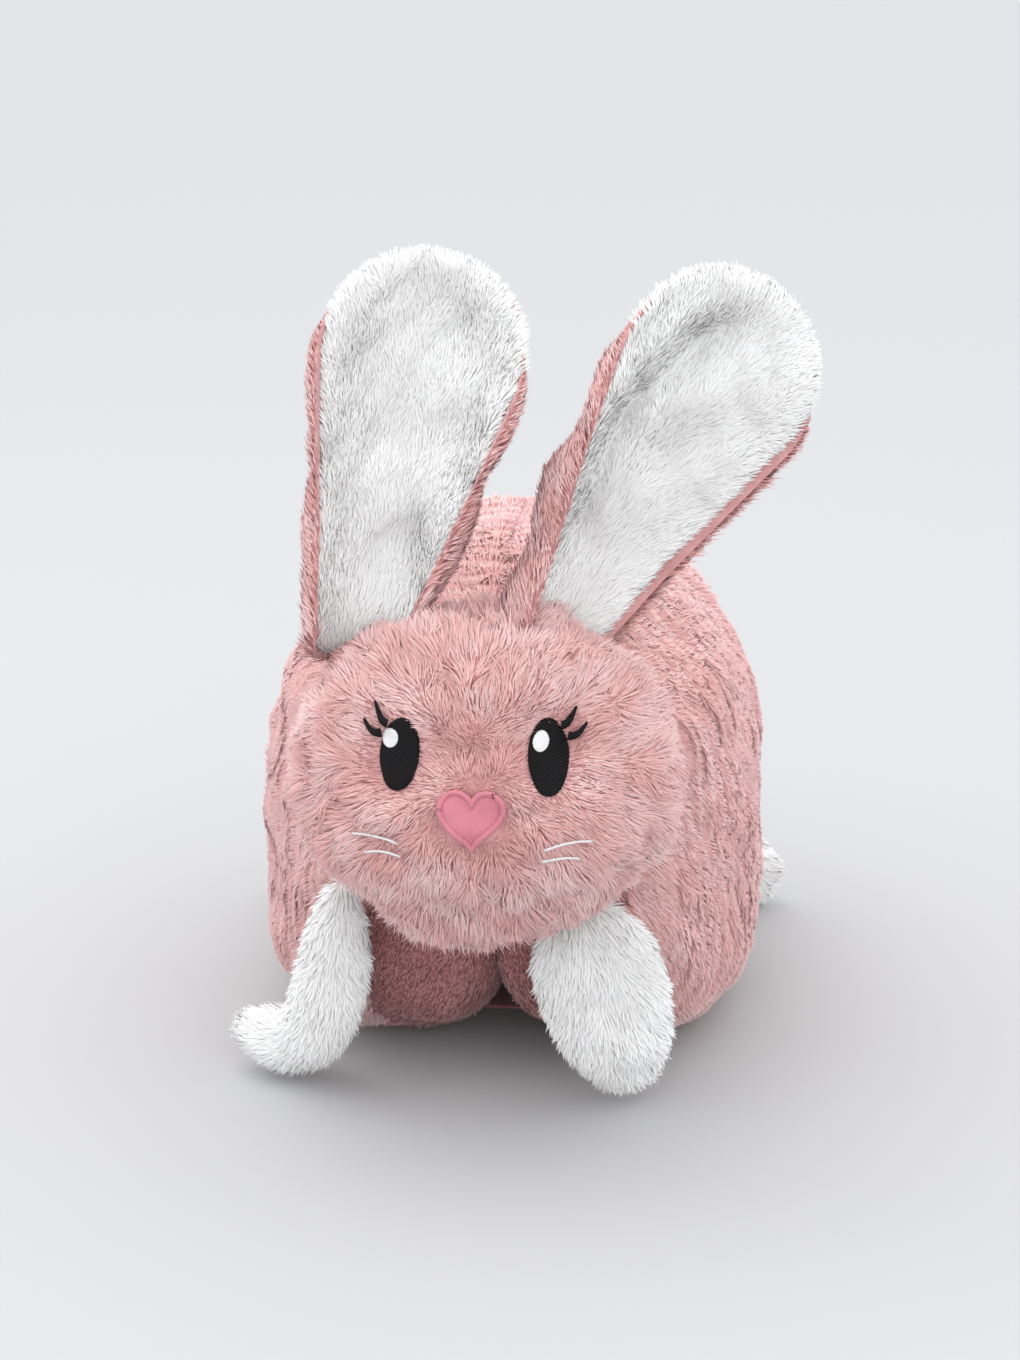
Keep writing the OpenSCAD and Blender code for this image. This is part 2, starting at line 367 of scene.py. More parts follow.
# Painted shade: the belly lining, its nap and the strap are coloured far darker than the pink plush, for the
# shade under the head, in the cleft between the lobes and under the body.
BELLY_PINK_PAINTED_SHADE = PlushFinish("belly_plush_painted_shade", (0.30, 0.11, 0.11),
                         ((0.50, 0.24, 0.235), (0.46, 0.21, 0.205), (0.42, 0.185, 0.18)))
WHITE = PlushFinish("white_plush", (0.88, 0.872, 0.86),
                    ((0.89, 0.89, 0.882), (0.872, 0.872, 0.864), (0.854, 0.852, 0.842), (0.83, 0.826, 0.815)))
FILLING = FibreFinish("polyester_fill", (0.92, 0.92, 0.90))
BLACK_THREAD = ThreadFinish("black_embroidery", (0.002, 0.002, 0.002), (0.014, 0.013, 0.014), 0.0012, 1.1,
                            gloss=0.1, sheen=0.0)
WHITE_THREAD = ThreadFinish("white_embroidery", (0.72, 0.72, 0.72), (0.9, 0.9, 0.9), angle=0.5)
ROSE_THREAD = ThreadFinish("rose_embroidery", (0.60, 0.17, 0.22), (0.74, 0.26, 0.33), angle=0.35)
ROSE_BORDER = ThreadFinish("rose_border", (0.58, 0.16, 0.21), (0.76, 0.28, 0.35), along=True)
SEAM_THREAD = ThreadFinish("seam_thread", (0.58, 0.26, 0.27), (0.70, 0.36, 0.37))
HOOK_TAPE = TapeFinish("hook_tape", (0.85, 0.8, 0.8), 1400.0)
LOOP_TAPE = TapeFinish("loop_tape", (0.88, 0.84, 0.84), 2200.0)
PAPER = FloorFinish("floor_paper", (0.485, 0.488, 0.494))


# ---- making pieces ----------------------------------------------------------------------------


def piece_of(bm: bmesh.types.BMesh, name: str) -> Piece:
    """Makes a smooth mesh object at the origin out of a bmesh, and frees the bmesh.

    Args:
        bm: The shape, in the shared frame.
        name: The piece's name.

    Returns:
        The new object.
    """
    bmesh.ops.recalc_face_normals(bm, faces=bm.faces)
    if bm.calc_volume(signed=True) < 0:
        bmesh.ops.reverse_faces(bm, faces=bm.faces)
    mesh = bpy.data.meshes.new(name)
    bm.to_mesh(mesh)
    bm.free()
    mesh.shade_smooth()
    made = bpy.data.objects.new(name, mesh)
    bpy.context.scene.collection.objects.link(made)
    return made


def globe(columns: int, rings: int, form: Form) -> bmesh.types.BMesh:
    """Starts from a ball and moves each of its points to the place that form gives it.

    Args:
        columns: Faces round the ball's axis.
        rings: Faces from pole to pole.
        form: Places for the points of a ball of radius one with its poles on Z.

    Returns:
        The shaped bmesh.
    """
    bm = bmesh.new()
    bmesh.ops.create_uvsphere(bm, u_segments=columns, v_segments=rings, radius=1.0)
    poles = bm.verts.layers.float.new("pole")
    moved = form(np.array([v.co for v in bm.verts]))
    for vert, place in zip(bm.verts, moved):
        vert[poles] = vert.co.z
        vert.co = place
    return bm


def dressed(piece: Piece, finish: object) -> Piece:
    """Gives a piece its finish and logs how many faces it has."""
    piece.data.materials.append(finish.cloth())
    log.info("%s: %d faces", piece.name, len(piece.data.polygons))
    return piece


@dataclass(frozen=True)
class Hold:
    """Which body a piece moves with, or, for a piece between two bodies, those bodies and the line where it
    would bend; that line is not used.
    """

    body: str
    next_body: str = ""
    start: Point = (0.0, 0.0, 0.0)
    end: Point = (0.0, 0.0, 0.0)

    def take(self, piece: Piece) -> None:
        """Attaches the piece to its one body; a piece between two bodies only has its place baked into its
        mesh and is not made to bend.
        """
        if self.next_body:
            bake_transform(piece)
        else:
            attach(piece, self.body)


@dataclass(frozen=True)
class Strand:
    """The cut and lie of one pile's strands."""

    length: float
    width: float
    rise: float = 0.5            # 0 lies flat, 1 stands up from the cloth
    gather: float = 0.5          # how strongly the tips draw together into tufts
    tuft: float = 0.013          # size of a tuft
    spread: float = 0.22         # how much neighbours differ
    soft: float = 0.72           # how far its shading follows the skin
    mottle: float = 0.2          # how much the strands' tints differ
    levels: tuple[float, ...] = (0.0, 0.42, 0.76)


def always(points: Array, normals: Array) -> Array:
    """Returns one for every point: strands at full length everywhere."""
    return np.ones(len(points))


@dataclass
class Pile:
    """A pile of separate strands on a skin. Each strand is a narrow blade that tapers to a point; with
    tens of thousands of them on a piece they are laid out as arrays, which no mesh operator does."""

    name: str
    finish: PlushFinish
    strand: Strand
    density: float               # strands per square metre
    comb: Field
    seed: int
    slot: str
    hold: Hold
    trim: Field = always         # share of the full length; none grows under a tenth
    thin: Field = always         # share of the full density
    outer: int = 0               # which pole's face of a two-faced skin it grows on, or 0 for both
    _rng: np.random.Generator = field(init=False, repr=False)

    def __post_init__(self) -> None:
        """Starts the pile's own random numbers."""
        self._rng = np.random.default_rng(self.seed)

    def roots(self, skin: Piece) -> tuple[Array, Array]:
        """Scatters roots evenly over a skin.

        Args:
            skin: The closed skin that the strands grow from.

        Returns:
            The roots and the skin's normals there.
        """
        mesh = skin.data
        mesh.calc_loop_triangles()
        count = len(mesh.loop_triangles)
        corners = np.empty(count * 3, np.int64)
        mesh.loop_triangles.foreach_get("vertices", corners)
        corners = corners.reshape(-1, 3)
        places = np.empty(len(mesh.vertices) * 3)
        mesh.vertices.foreach_get("co", places)
        places = places.reshape(-1, 3)
        normals = np.empty(len(mesh.vertices) * 3)
        mesh.vertices.foreach_get("normal", normals)
        normals = normals.reshape(-1, 3)
        tri = places[corners]
        facing = np.cross(tri[:, 1] - tri[:, 0], tri[:, 2] - tri[:, 0])
        centres, weight = tri.mean(axis=1), np.linalg.norm(facing, axis=1) / 2
        weight = weight * self.thin(centres, unit(facing))
        if self.outer:
            poles = np.empty(len(mesh.vertices))
            mesh.attributes["pole"].data.foreach_get("value", poles)
            weight = weight * (poles[corners].mean(axis=1) * self.outer > -0.05)
        total = np.cumsum(weight)
        number = int(total[-1] * self.density)
        chosen = np.searchsorted(total, self._rng.uniform(0, total[-1], number))
        chosen = np.minimum(chosen, count - 1)
        share = np.sqrt(self._rng.uniform(0, 1, (number, 1)))
        other = self._rng.uniform(0, 1, (number, 1))
        parts = np.concatenate([1 - share, share * (1 - other), share * other], axis=1)
        found = corners[chosen]
        points = (places[found] * parts[:, :, None]).sum(axis=1)
        return points, unit((normals[found] * parts[:, :, None]).sum(axis=1))

    def _blades(self, points: Array, normals: Array, length: Array) -> tuple[Array, Array]:
        """Shapes the strands.

        Args:
            points: Where they grow.
            normals: The skin's normals there.
            length: Each strand's length.

        Returns:
            Their vertices, strand by strand, and a shading normal for each strand.
        """
        cut, number = self.strand, len(points)
        way = self.comb(points, normals)
        way = way - normals * (way * normals).sum(axis=1, keepdims=True)
        way = unit(way + 1e-6)
        tufts = Ripple(cut.tuft, self.seed + 7).slope(points)
        wisps = Ripple(cut.tuft * 0.42, self.seed + 8).slope(points)
        pull = cut.gather * (tufts + 0.55 * wisps)
        pull -= normals * (pull * normals).sum(axis=1, keepdims=True)
        stray = self._rng.normal(size=(number, 3)) * cut.spread
        start = unit(normals * cut.rise + way * (1 - cut.rise) + 0.6 * stray)
        finish = unit(way + 0.3 * normals * cut.rise + pull + stray)
        finish = unit(finish + normals * np.maximum(0, 0.06 - (finish * normals).sum(1))[:, None])
        across = unit(np.cross(start + finish, normals))
        roll = self._rng.normal(size=(number, 1)) * 0.45
        across = unit(across * np.cos(roll) + normals * np.sin(roll))
        reach = length[:, None]
        rows = []
        width = cut.width * (0.55 + 0.45 * length / cut.length)[:, None]
        for level in cut.levels:
            middle = points + reach * (start * (level - level ** 2 / 2) + finish * level ** 2 / 2)
            half = across * width / 2 * (1 - level ** 2.2)
            rows += [middle - half, middle + half]
        rows.append(points + reach * (start + finish) / 2)
        places = np.stack(rows, axis=1)
        places[:, :, 2] = np.maximum(places[:, :, 2], FLOOR_CLEARANCE)
        face = unit(np.cross(across, start + finish))
        return places, unit(cut.soft * normals + (1 - cut.soft) * face)

    def _mesh(self, name: str, places: Array, shading: Array, shade: Array) -> Piece:
        """Builds one piece of pile from its strands' vertices.

        Args:
            name: The piece's name.
            places: Vertices, strand by strand.
            shading: Each strand's shading normal.
            shade: Each strand's material index.

        Returns:
            The piece.
        """
        number, each = places.shape[:2]
        quads = len(self.strand.levels) - 1
        corner = []
        for k in range(quads):
            corner += [2 * k, 2 * k + 1, 2 * k + 3, 2 * k + 2]
        corner += [each - 3, each - 2, each - 1]
        corners = (np.arange(number)[:, None] * each + np.array(corner)[None, :]).ravel()
        sizes = np.tile([4] * quads + [3], number)
        mesh = bpy.data.meshes.new(name)
        mesh.vertices.add(number * each)
        mesh.vertices.foreach_set("co", places.astype(np.float32).ravel())
        mesh.loops.add(len(corners))
        mesh.loops.foreach_set("vertex_index", corners.astype(np.int32))
        mesh.polygons.add(len(sizes))
        starts = np.concatenate([[0], np.cumsum(sizes)[:-1]])
        mesh.polygons.foreach_set("loop_start", starts.astype(np.int32))
        index = np.repeat(shade[:, None], quads + 1, axis=1)
        # each strand's lowest segment takes material 0, the painted shade of the pile's depth
        index[:, 0] = 0
        mesh.polygons.foreach_set("material_index", index.astype(np.int32).ravel())
        mesh.update(calc_edges=True)
        mesh.normals_split_custom_set_from_vertices(np.repeat(shading, each, axis=0).tolist())
        made = bpy.data.objects.new(name, mesh)
        bpy.context.scene.collection.objects.link(made)
        return made

    def grow(self, skin: Piece) -> list[Piece]:
        """Grows the pile on a skin, as one piece or several of limited size.

        Args:
            skin: The closed skin that the strands grow from.

        Returns:
            The pieces of pile.
        """
        points, normals = self.roots(skin)
        share = self.trim(points, normals)
        kept = share > 0.1
        points, normals, share = points[kept], normals[kept], share[kept]
        # Painted shade: wherever the pile is cut short (the hoops' grooves, the brow, round the embroidery,
        # the ears' back edges near the tip, under the body), its strands take darker tints.
        short_pile_shade = np.clip(0.8 - share, 0.0, 0.45)
        share = share * self._rng.uniform(0.72, 1.12, len(points))
        order = np.argsort(points[:, 2], kind="stable")
        points, normals, share, short_pile_shade = points[order], normals[order], share[order], short_pile_shade[order]
        places, shading = self._blades(points, normals, share * self.strand.length)
        tone = 0.5 + 0.21 * Ripple(TINT_PATCH, self.seed + 3).value(points)
        # the painted shade of short pile darkens the strand's tint
        tone += self.strand.mottle * self._rng.normal(size=len(points)) + 0.9 * short_pile_shade - 0.08
        shades = len(self.finish.shades)
        shade = 1 + np.clip(tone * shades, 0, shades - 1).astype(int)
        parts = max(1, math.ceil(len(points) / MOST_STRANDS))
        materials = self.finish.strands()
        made = []
        for part, rows in enumerate(np.array_split(np.arange(len(points)), parts)):
            name = self.name if parts == 1 else f"{self.name}_{part + 1}"
            piece = self._mesh(name, places[rows], shading[rows], shade[rows])
            for material in materials:
                piece.data.materials.append(material)
            self.hold.take(piece)
            log.info("%s: %d strands", name, len(rows))
            made.append(piece)
        return made


class Outline:
    """A closed outline seen from a centre: how far it is in each direction."""

    def __init__(self, points: Sequence[Sequence[float]], centre: Sequence[float]) -> None:
        """Measures the outline.

        Args:
            points: The outline's corners in order.
            centre: A point from which the whole outline is seen.
        """
        corners = np.asarray(points, float)
        after = np.roll(corners, -1, axis=0)
        steps = np.linspace(0, 1, 24, endpoint=False)[None, :, None]
        dense = (corners[:, None, :] * (1 - steps) + after[:, None, :] * steps).reshape(-1, 2)
        rays = dense - np.asarray(centre, float)
        angles = np.arctan2(rays[:, 1], rays[:, 0])
        order = np.argsort(angles)
        self.centre = np.asarray(centre, float)
        self._angles = angles[order]
        self._reach = np.hypot(rays[:, 0], rays[:, 1])[order]

    def at(self, angles: Array) -> Array:
        """Returns the outline's distance from its centre at the angles."""
        return np.interp(angles, self._angles, self._reach, period=2 * math.pi)


def arc(centre: Sequence[float], radius: float, start: float, stop: float, steps: int) -> list:
    """Returns points along an arc, with its angles in degrees."""
    turns = np.radians(np.linspace(start, stop, steps + 1))
    return [[centre[0] + radius * math.cos(a), centre[1] + radius * math.sin(a)] for a in turns]


# ---- body -------------------------------------------------------------------------------------


@dataclass
class Lobe:
    """One stuffed half of the folded body, from the spine down to the floor. Its skin is a closed
    cushion whose inner wall lies on the body's middle plane, with a belly lining over that wall."""

    side: Side
    dome_radius: float = 0.1355
    dome_height: float = 0.139
    middle_y: float = 0.0235
    half_length: float = 0.151
    squareness: float = 2.7
    inner_radius: float = 0.050
    outer_radius: float = 0.058
    sag: float = 0.005
    wall: float = 0.0006
    hoop_spacing: float = 0.0095
    hoop_height: float = 0.0022
    padding: float = 0.006                   # from the skin in to the filling
    plush: Strand = Strand(0.0085, 0.00105, rise=0.30, gather=0.10, tuft=0.02, spread=0.09, soft=0.88,
                           mottle=0.12, levels=(0.0, 0.5))
    plush_density: float = 730000.0
    nap: Strand = Strand(0.0055, 0.0011, rise=0.42, gather=0.25, tuft=0.01, spread=0.14,
                         levels=(0.0, 0.55))
    nap_density: float = 600000.0

    def outline(self, inset: float) -> Outline:
        """Returns the section's outline about the dome's centre, inset inside the skin."""
        radius = self.dome_radius - inset
        wall = self.wall + inset
        bottom = -(self.dome_height - 0.002 + self.sag) + inset
        inner, outer = self.inner_radius - inset, self.outer_radius - inset
        points = [[wall, radius]]
        points += arc((wall + inner, bottom + inner), inner, 180, 270, 12)
        points += arc((radius - outer, bottom + outer), outer, 270, 360, 16)
        points += arc((0.0, 0.0), radius, 0, 89.6, 32)
        return Outline(points, (0.06, -0.02))

    def _profile(self, cosine: Array) -> tuple[Array, Array]:
        """Returns the place along the body and the section's scale for points of the ball."""
        size = np.abs(cosine) ** (2.0 / self.squareness)
        scale = np.maximum(1.0 - size ** self.squareness, 0.0) ** (1.0 / self.squareness)
        return self.middle_y - self.half_length * np.sign(cosine) * size, scale

    def path_length(self, y: Array) -> Array:
        """Returns the distance over the surface from the front's middle to a section at y."""
        turns = np.linspace(0, math.pi, 400)
        along, scale = self._profile(np.cos(turns))
        steps = np.hypot(np.diff(along), np.diff(scale * self.dome_radius))
        return np.interp(y, along, np.concatenate([[0.0], np.cumsum(steps)]))

    def hoops(self, points: Array) -> Array:
        """Returns the phase of the wavy hoops that run round the body's front shoulder."""
        waver = 0.0028 * Ripple(0.07, Seed.HOOPS).value(points)
        return 2 * math.pi * (self.path_length(points[:, 1]) + waver) / self.hoop_spacing

    def hoop_strength(self, points: Array) -> Array:
        """Returns where the hoops show: strongest behind the front rim, none at the floor."""
        path = self.path_length(points[:, 1])
        return ease(path, 0.075, 0.11) * (1 - 0.75 * ease(path, 0.2, 0.32)) * ease(points[:, 2], 0.02, 0.07)

    def _form(self, inset: float) -> Form:
        """Returns the function that shapes a ball into the lobe."""
        outline = self.outline(inset)
        corner = math.atan2(self.dome_radius - inset + 0.02, self.wall + inset - 0.06)

        def form(ball: Array) -> Array:
            """Returns the places of the ball's points on the lobe."""
            angle = np.arctan2(ball[:, 1], ball[:, 0]) + corner
            y, scale = self._profile(ball[:, 2])
            y = np.clip(y, self.middle_y - self.half_length + inset,
                        self.middle_y + self.half_length - inset)
            reach = outline.at(np.arctan2(np.sin(angle), np.cos(angle)))
            x = (outline.centre[0] + reach * np.cos(angle)) * scale
            z = self.dome_height + (outline.centre[1] + reach * np.sin(angle)) * scale
            places = np.stack([x, y, z], axis=1)
            outward = unit(np.stack([x, 0.4 * (y - self.middle_y), z - self.dome_height], axis=1))
            lift = (0.0016 * Ripple(0.055, Seed.LOBE_LUMPS).value(places)
                    + 0.0007 * Ripple(0.02, Seed.LOBE_DENTS).value(places))
            if inset == 0:
                lift += self.hoop_height * np.cos(self.hoops(places)) * self.hoop_strength(places)
            free = ease(x, 0.003, 0.03) + 1.0 * ease(z, 0.24, 0.265)
            places += outward * (lift * np.clip(free, 0, 1))[:, None]
            places[:, 0] = np.maximum(places[:, 0], self.wall + inset)
            places[:, 2] = np.maximum(places[:, 2], 0.002 + inset)
            places[:, 0] *= self.side.value
            return places

        return form

    def hold(self) -> Hold:
        """Returns the bend from the spine to this half."""
        reach = 0.048
        return Hold("root", f"{self.side.word}_half", (0.0, self.middle_y, 0.167),
                    (self.side.value * reach, self.middle_y, 0.167 - reach))

    def comb(self, points: Array, normals: Array) -> Array:
        """Returns the way the cover's pile lies: out from the face, back along the body and down,
        drawn together along the hoops."""
        out = np.stack([points[:, 0], np.zeros(len(points)), points[:, 2] - 0.15], axis=1)
        front = 1 - ease(points[:, 1], -0.125, -0.07)
        way = unit(out) * (0.25 + 0.9 * front)[:, None]
        way[:, 1] += 0.75 * (1 - front) + 0.15
        way[:, 2] -= 0.5
        along = unit(out) * (front * 0.7)[:, None] + np.array([0.0, 1.0, 0.0]) * (1 - 0.6 * front)[:, None]
        draw = np.sin(self.hoops(points)) * self.hoop_strength(points)
        return unit(way) + 1.0 * along * draw[:, None]

    def trim(self, points: Array, normals: Array) -> Array:
        """Returns the cover pile's length: long beside the head, close further back."""
        side = np.abs(points[:, 0])
        share = 0.62 + 0.45 * (1 - ease(points[:, 1], -0.11, -0.05))
        # shorter pile in the hoops' grooves, which grow() also tints darker as painted shade
        share *= 1 - 0.38 * (0.5 - 0.5 * np.cos(self.hoops(points))) * self.hoop_strength(points)
        share *= ease(side, 0.0008, 0.004) + ease(points[:, 2], 0.2, 0.25)
        share = np.minimum(share, 1.1)
        # shorter pile underneath, which grow() also tints darker as painted shade
        share = np.where((normals[:, 2] < -0.6) & (points[:, 2] < 0.012), 0.55, share)
        wall = (side < 0.004) & (points[:, 2] < 0.255)
        lined = self._lined(side, points[:, 1], points[:, 2])
        return np.where(wall | lined, 0.0, share)

    def thin(self, points: Array, normals: Array) -> Array:
        """Returns the cover pile's density: less underneath, none where the lobe is lined."""
        share = 0.55 + 0.45 * (1 - ease(points[:, 1], 0.0, 0.1))
        share *= 1 - 0.35 * (points[:, 2] < 0.01)
        return np.where(self._lined(np.abs(points[:, 0]), points[:, 1], points[:, 2]), 0.0, share)

    def lining_comb(self, points: Array, normals: Array) -> Array:
        """Returns the way the belly lining's pile lies: down and outwards."""
        outwards = 0.6 * np.sign(points[:, 0])
        return np.stack([outwards, np.full(len(points), 0.3), np.full(len(points), -1.0)], axis=1)

    def lining_thin(self, points: Array, normals: Array) -> Array:
        """Returns the lining pile's density: only on the face that shows."""
        outside = np.abs(points[:, 0]) > 0.0008
        return outside * (0.12 + 0.88 * (points[:, 1] < -0.05)) * (points[:, 2] < 0.16)

    def _lining(self, skin: Piece) -> Piece:
        """Makes the belly lining: a thin closed sheet over the lobe's inner wall and rounding, coloured dark
        as painted shade.
        """
        bm = bmesh.new()
        bm.from_mesh(skin.data)
        middles = np.array([f.calc_center_median() for f in bm.faces])
        lined = self._lined(np.abs(middles[:, 0]), middles[:, 1], middles[:, 2])
        spare = [f for f, kept in zip(list(bm.faces), lined) if not kept]
        bmesh.ops.delete(bm, geom=spare, context="FACES")
        bm.normal_update()
        shown = [(vert, vert.normal.copy()) for vert in bm.verts]
        bmesh.ops.extrude_face_region(bm, geom=bm.faces[:], use_keep_orig=True)
        for vert, outward in shown:
            vert.co += outward * 0.0012
            vert.co.x = self.side.value * max(vert.co.x * self.side.value, 0.0002)
            vert.co.z = max(vert.co.z, 0.0004)
        return piece_of(bm, f"{self.side.word}_belly_lining_cloth")

    @staticmethod
    def _lined(reach: Array, y: Array, z: Array) -> Array:
        """Returns where the belly lining lies: the inner wall, its rounding, and the front under the chin."""
        front = ease(-y, 0.045, 0.10)
        return ((reach < 0.02) & (z < 0.17)) | ((reach < 0.045 + 0.023 * front) & (z < 0.08 + 0.045 * front))

    def build(self) -> None:
        """Builds the half: skin, filling, lining and their pile."""
        word = self.side.word
        skin = dressed(piece_of(globe(144, 112, self._form(0.0)), f"{word}_side_cover_cloth"),
                       BODY_PINK)
        fill = dressed(piece_of(globe(56, 36, self._form(self.padding)), f"{word}_filling"),
                       FILLING)
        # the lining and its nap take the belly's painted shade
        lining = dressed(self._lining(skin), BELLY_PINK_PAINTED_SHADE)
        pile = Pile(f"{word}_side_pile", BODY_PINK, self.plush, self.plush_density, self.comb,
                    Seed.SIDE_PILE + self.side.value, "pink_long_plush", self.hold(), self.trim, self.thin)
        pile.grow(skin)
        nap = Pile(f"{word}_belly_nap", BELLY_PINK_PAINTED_SHADE, self.nap, self.nap_density, self.lining_comb,
                   Seed.BELLY_NAP + self.side.value, "pink_short_plush", self.hold(), thin=self.lining_thin)
        nap.grow(lining)
        for piece in (skin, fill, lining):
            self.hold().take(piece)
        spine = self.side is Side.LEFT
        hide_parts(f"{word}_side_cover", *(["spine_cover"] if spine else []))
        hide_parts(f"{word}_stuffing", *(["spine_stuffing"] if spine else []))
        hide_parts(f"{word}_belly_lining")


# ---- head -------------------------------------------------------------------------------------


@dataclass(frozen=True)
class Patch:
    """An embroidered patch's place and size on the face, seen from the front."""

    x: float
    z: float
    half_width: float
    half_height: float
    bare: float                  # share of its size under which no pile grows

    @classmethod
    def of_node(cls, node: str, bare: float = NOSE_BARE) -> "Patch":
        """Returns the patch that stands where a node of the frame does."""
        low, high = (Vector(v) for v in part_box(node))
        return cls((low.x + high.x) / 2, (low.z + high.z) / 2, (high.x - low.x) / 2, (high.z - low.z) / 2,
                   bare)

    def nearness(self, points: Array) -> Array:
        """Returns how far points are from the patch's middle, as a share of its own size."""
        return np.hypot((points[:, 0] - self.x) / self.half_width, (points[:, 2] - self.z) / self.half_height)


@dataclass
class Head:
    """The soft head: a broad rounded cushion with a full muzzle and long pile."""

    centre: Point = (0.0, -0.178, 0.200)
    half_width: float = 0.0905
    half_height: float = 0.080
    face_depth: float = 0.058
    nape_depth: float = 0.050
    squareness: float = 2.25
    parting: Point = (0.0, -0.262, 0.214)
    padding: float = 0.005                   # from the skin in to the filling
    plush: Strand = Strand(0.0148, 0.00095, rise=0.42, gather=0.72, tuft=0.021, spread=0.12, soft=0.78)
    plush_density: float = 1250000.0
    patches: tuple[Patch, ...] = field(init=False)

    def __post_init__(self) -> None:
        """Finds the places of the embroidery."""
        eyes = tuple(Patch.of_node(f"{side.word}_eye_patch", EYE_BARE) for side in Side)
        self.patches = eyes + (Patch.of_node("nose_border"),)

    def _form(self, inset: float) -> Form:
        """Returns the function that shapes a ball into the head."""
        def form(ball: Array) -> Array:
            """Returns the places of the ball's points on the head."""
            turned = np.stack([ball[:, 0], ball[:, 2], ball[:, 1]], axis=1)
            power = self.squareness
            spread = (np.abs(turned) ** power).sum(axis=1) ** (1 / power)
            a, b, c = (turned / spread[:, None]).T
            depth = np.where(b < 0, self.face_depth, self.nape_depth) - inset
            x = a * (self.half_width - inset) * (1 - 0.17 * ease(-c, 0.1, 1.0) + 0.03 * bell(c + 0.1, 0.4))
            z = c * (self.half_height - inset)
            front = ease(-b, 0.0, 0.5)
            muzzle = 0.010 * bell(x, 0.042) * bell(z + 0.012, 0.032)
            cheeks = 0.005 * bell(np.abs(x) - 0.055, 0.026) * bell(z + 0.014, 0.035)
            brow = -0.004 * bell(x, 0.06) * bell(z - 0.03, 0.02)
            y = b * depth - front * (muzzle + cheeks + brow)
            places = np.stack([x, y, z], axis=1)
            lift = (0.0015 * Ripple(0.045, Seed.HEAD_LUMPS).value(places)
                    + 0.0008 * Ripple(0.018, Seed.HEAD_DENTS).value(places))
            places += unit(places / (depth[:, None] * 0 + np.array([0.0095, 0.0034, 0.0066]))) * lift[:, None]
            return places + np.array(self.centre)

        return form

    def comb(self, points: Array, normals: Array) -> Array:
        """Returns the way the pile lies: away from the parting between the eyes, sinking as it goes."""
        way = points - np.array(self.parting)
        way[:, 1] *= 0.6
        low = ease(self.parting[2] - points[:, 2], 0.0, 0.08)
        way = unit(way)
        way[:, 2] -= 0.18 + 0.35 * low
        way[:, 1] += 0.25 * ease(points[:, 2], 0.24, 0.28)
        return way + 0.25 * Ripple(0.035, Seed.HEAD_LOCKS).slope(points)

    def trim(self, points: Array, normals: Array) -> Array:
        """Returns the pile's length: short on the brow and round the embroidery, none beneath it."""
        away = np.hypot(points[:, 0], points[:, 2] - self.parting[2])
        on_face = points[:, 1] < -0.205
        share = np.where(on_face, 0.46 + 0.54 * ease(away, 0.02, 0.06), 1.0)
        share *= 1 + 0.2 * ease(0.15 - points[:, 2], 0.0, 0.03)
        for patch in self.patches:
            near = patch.nearness(points)
            share = np.where(on_face, share * (0.40 + 0.60 * ease(near, 0.85, 1.45)), share)
            share = np.where(on_face & (near < patch.bare), 0.0, share)
        return share

    def thin(self, points: Array, normals: Array) -> Array:
        """Returns the pile's density: less at the nape, where the head meets the body."""
        return 1 - 0.7 * ease(points[:, 1], -0.165, -0.145)

    def build(self) -> Piece:
        """Builds the head's cloth, filling and pile.

        Returns:
            The cloth, which the embroidery is laid on.
        """
        skin = dressed(piece_of(globe(160, 110, self._form(0.0)), "head_cloth"), PINK)
        fill = dressed(piece_of(globe(64, 44, self._form(self.padding)), "head_filling"), FILLING)
        pile = Pile("head_pile", PINK, self.plush, self.plush_density, self.comb, Seed.HEAD_PILE,
                    "pink_long_plush", Hold("head"), self.trim, self.thin)
        pile.grow(skin)
        for piece in (skin, fill):
            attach(piece, "head")
        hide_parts("head_face_cover", "head_back_cover")
        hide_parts("head_stuffing")
        return skin


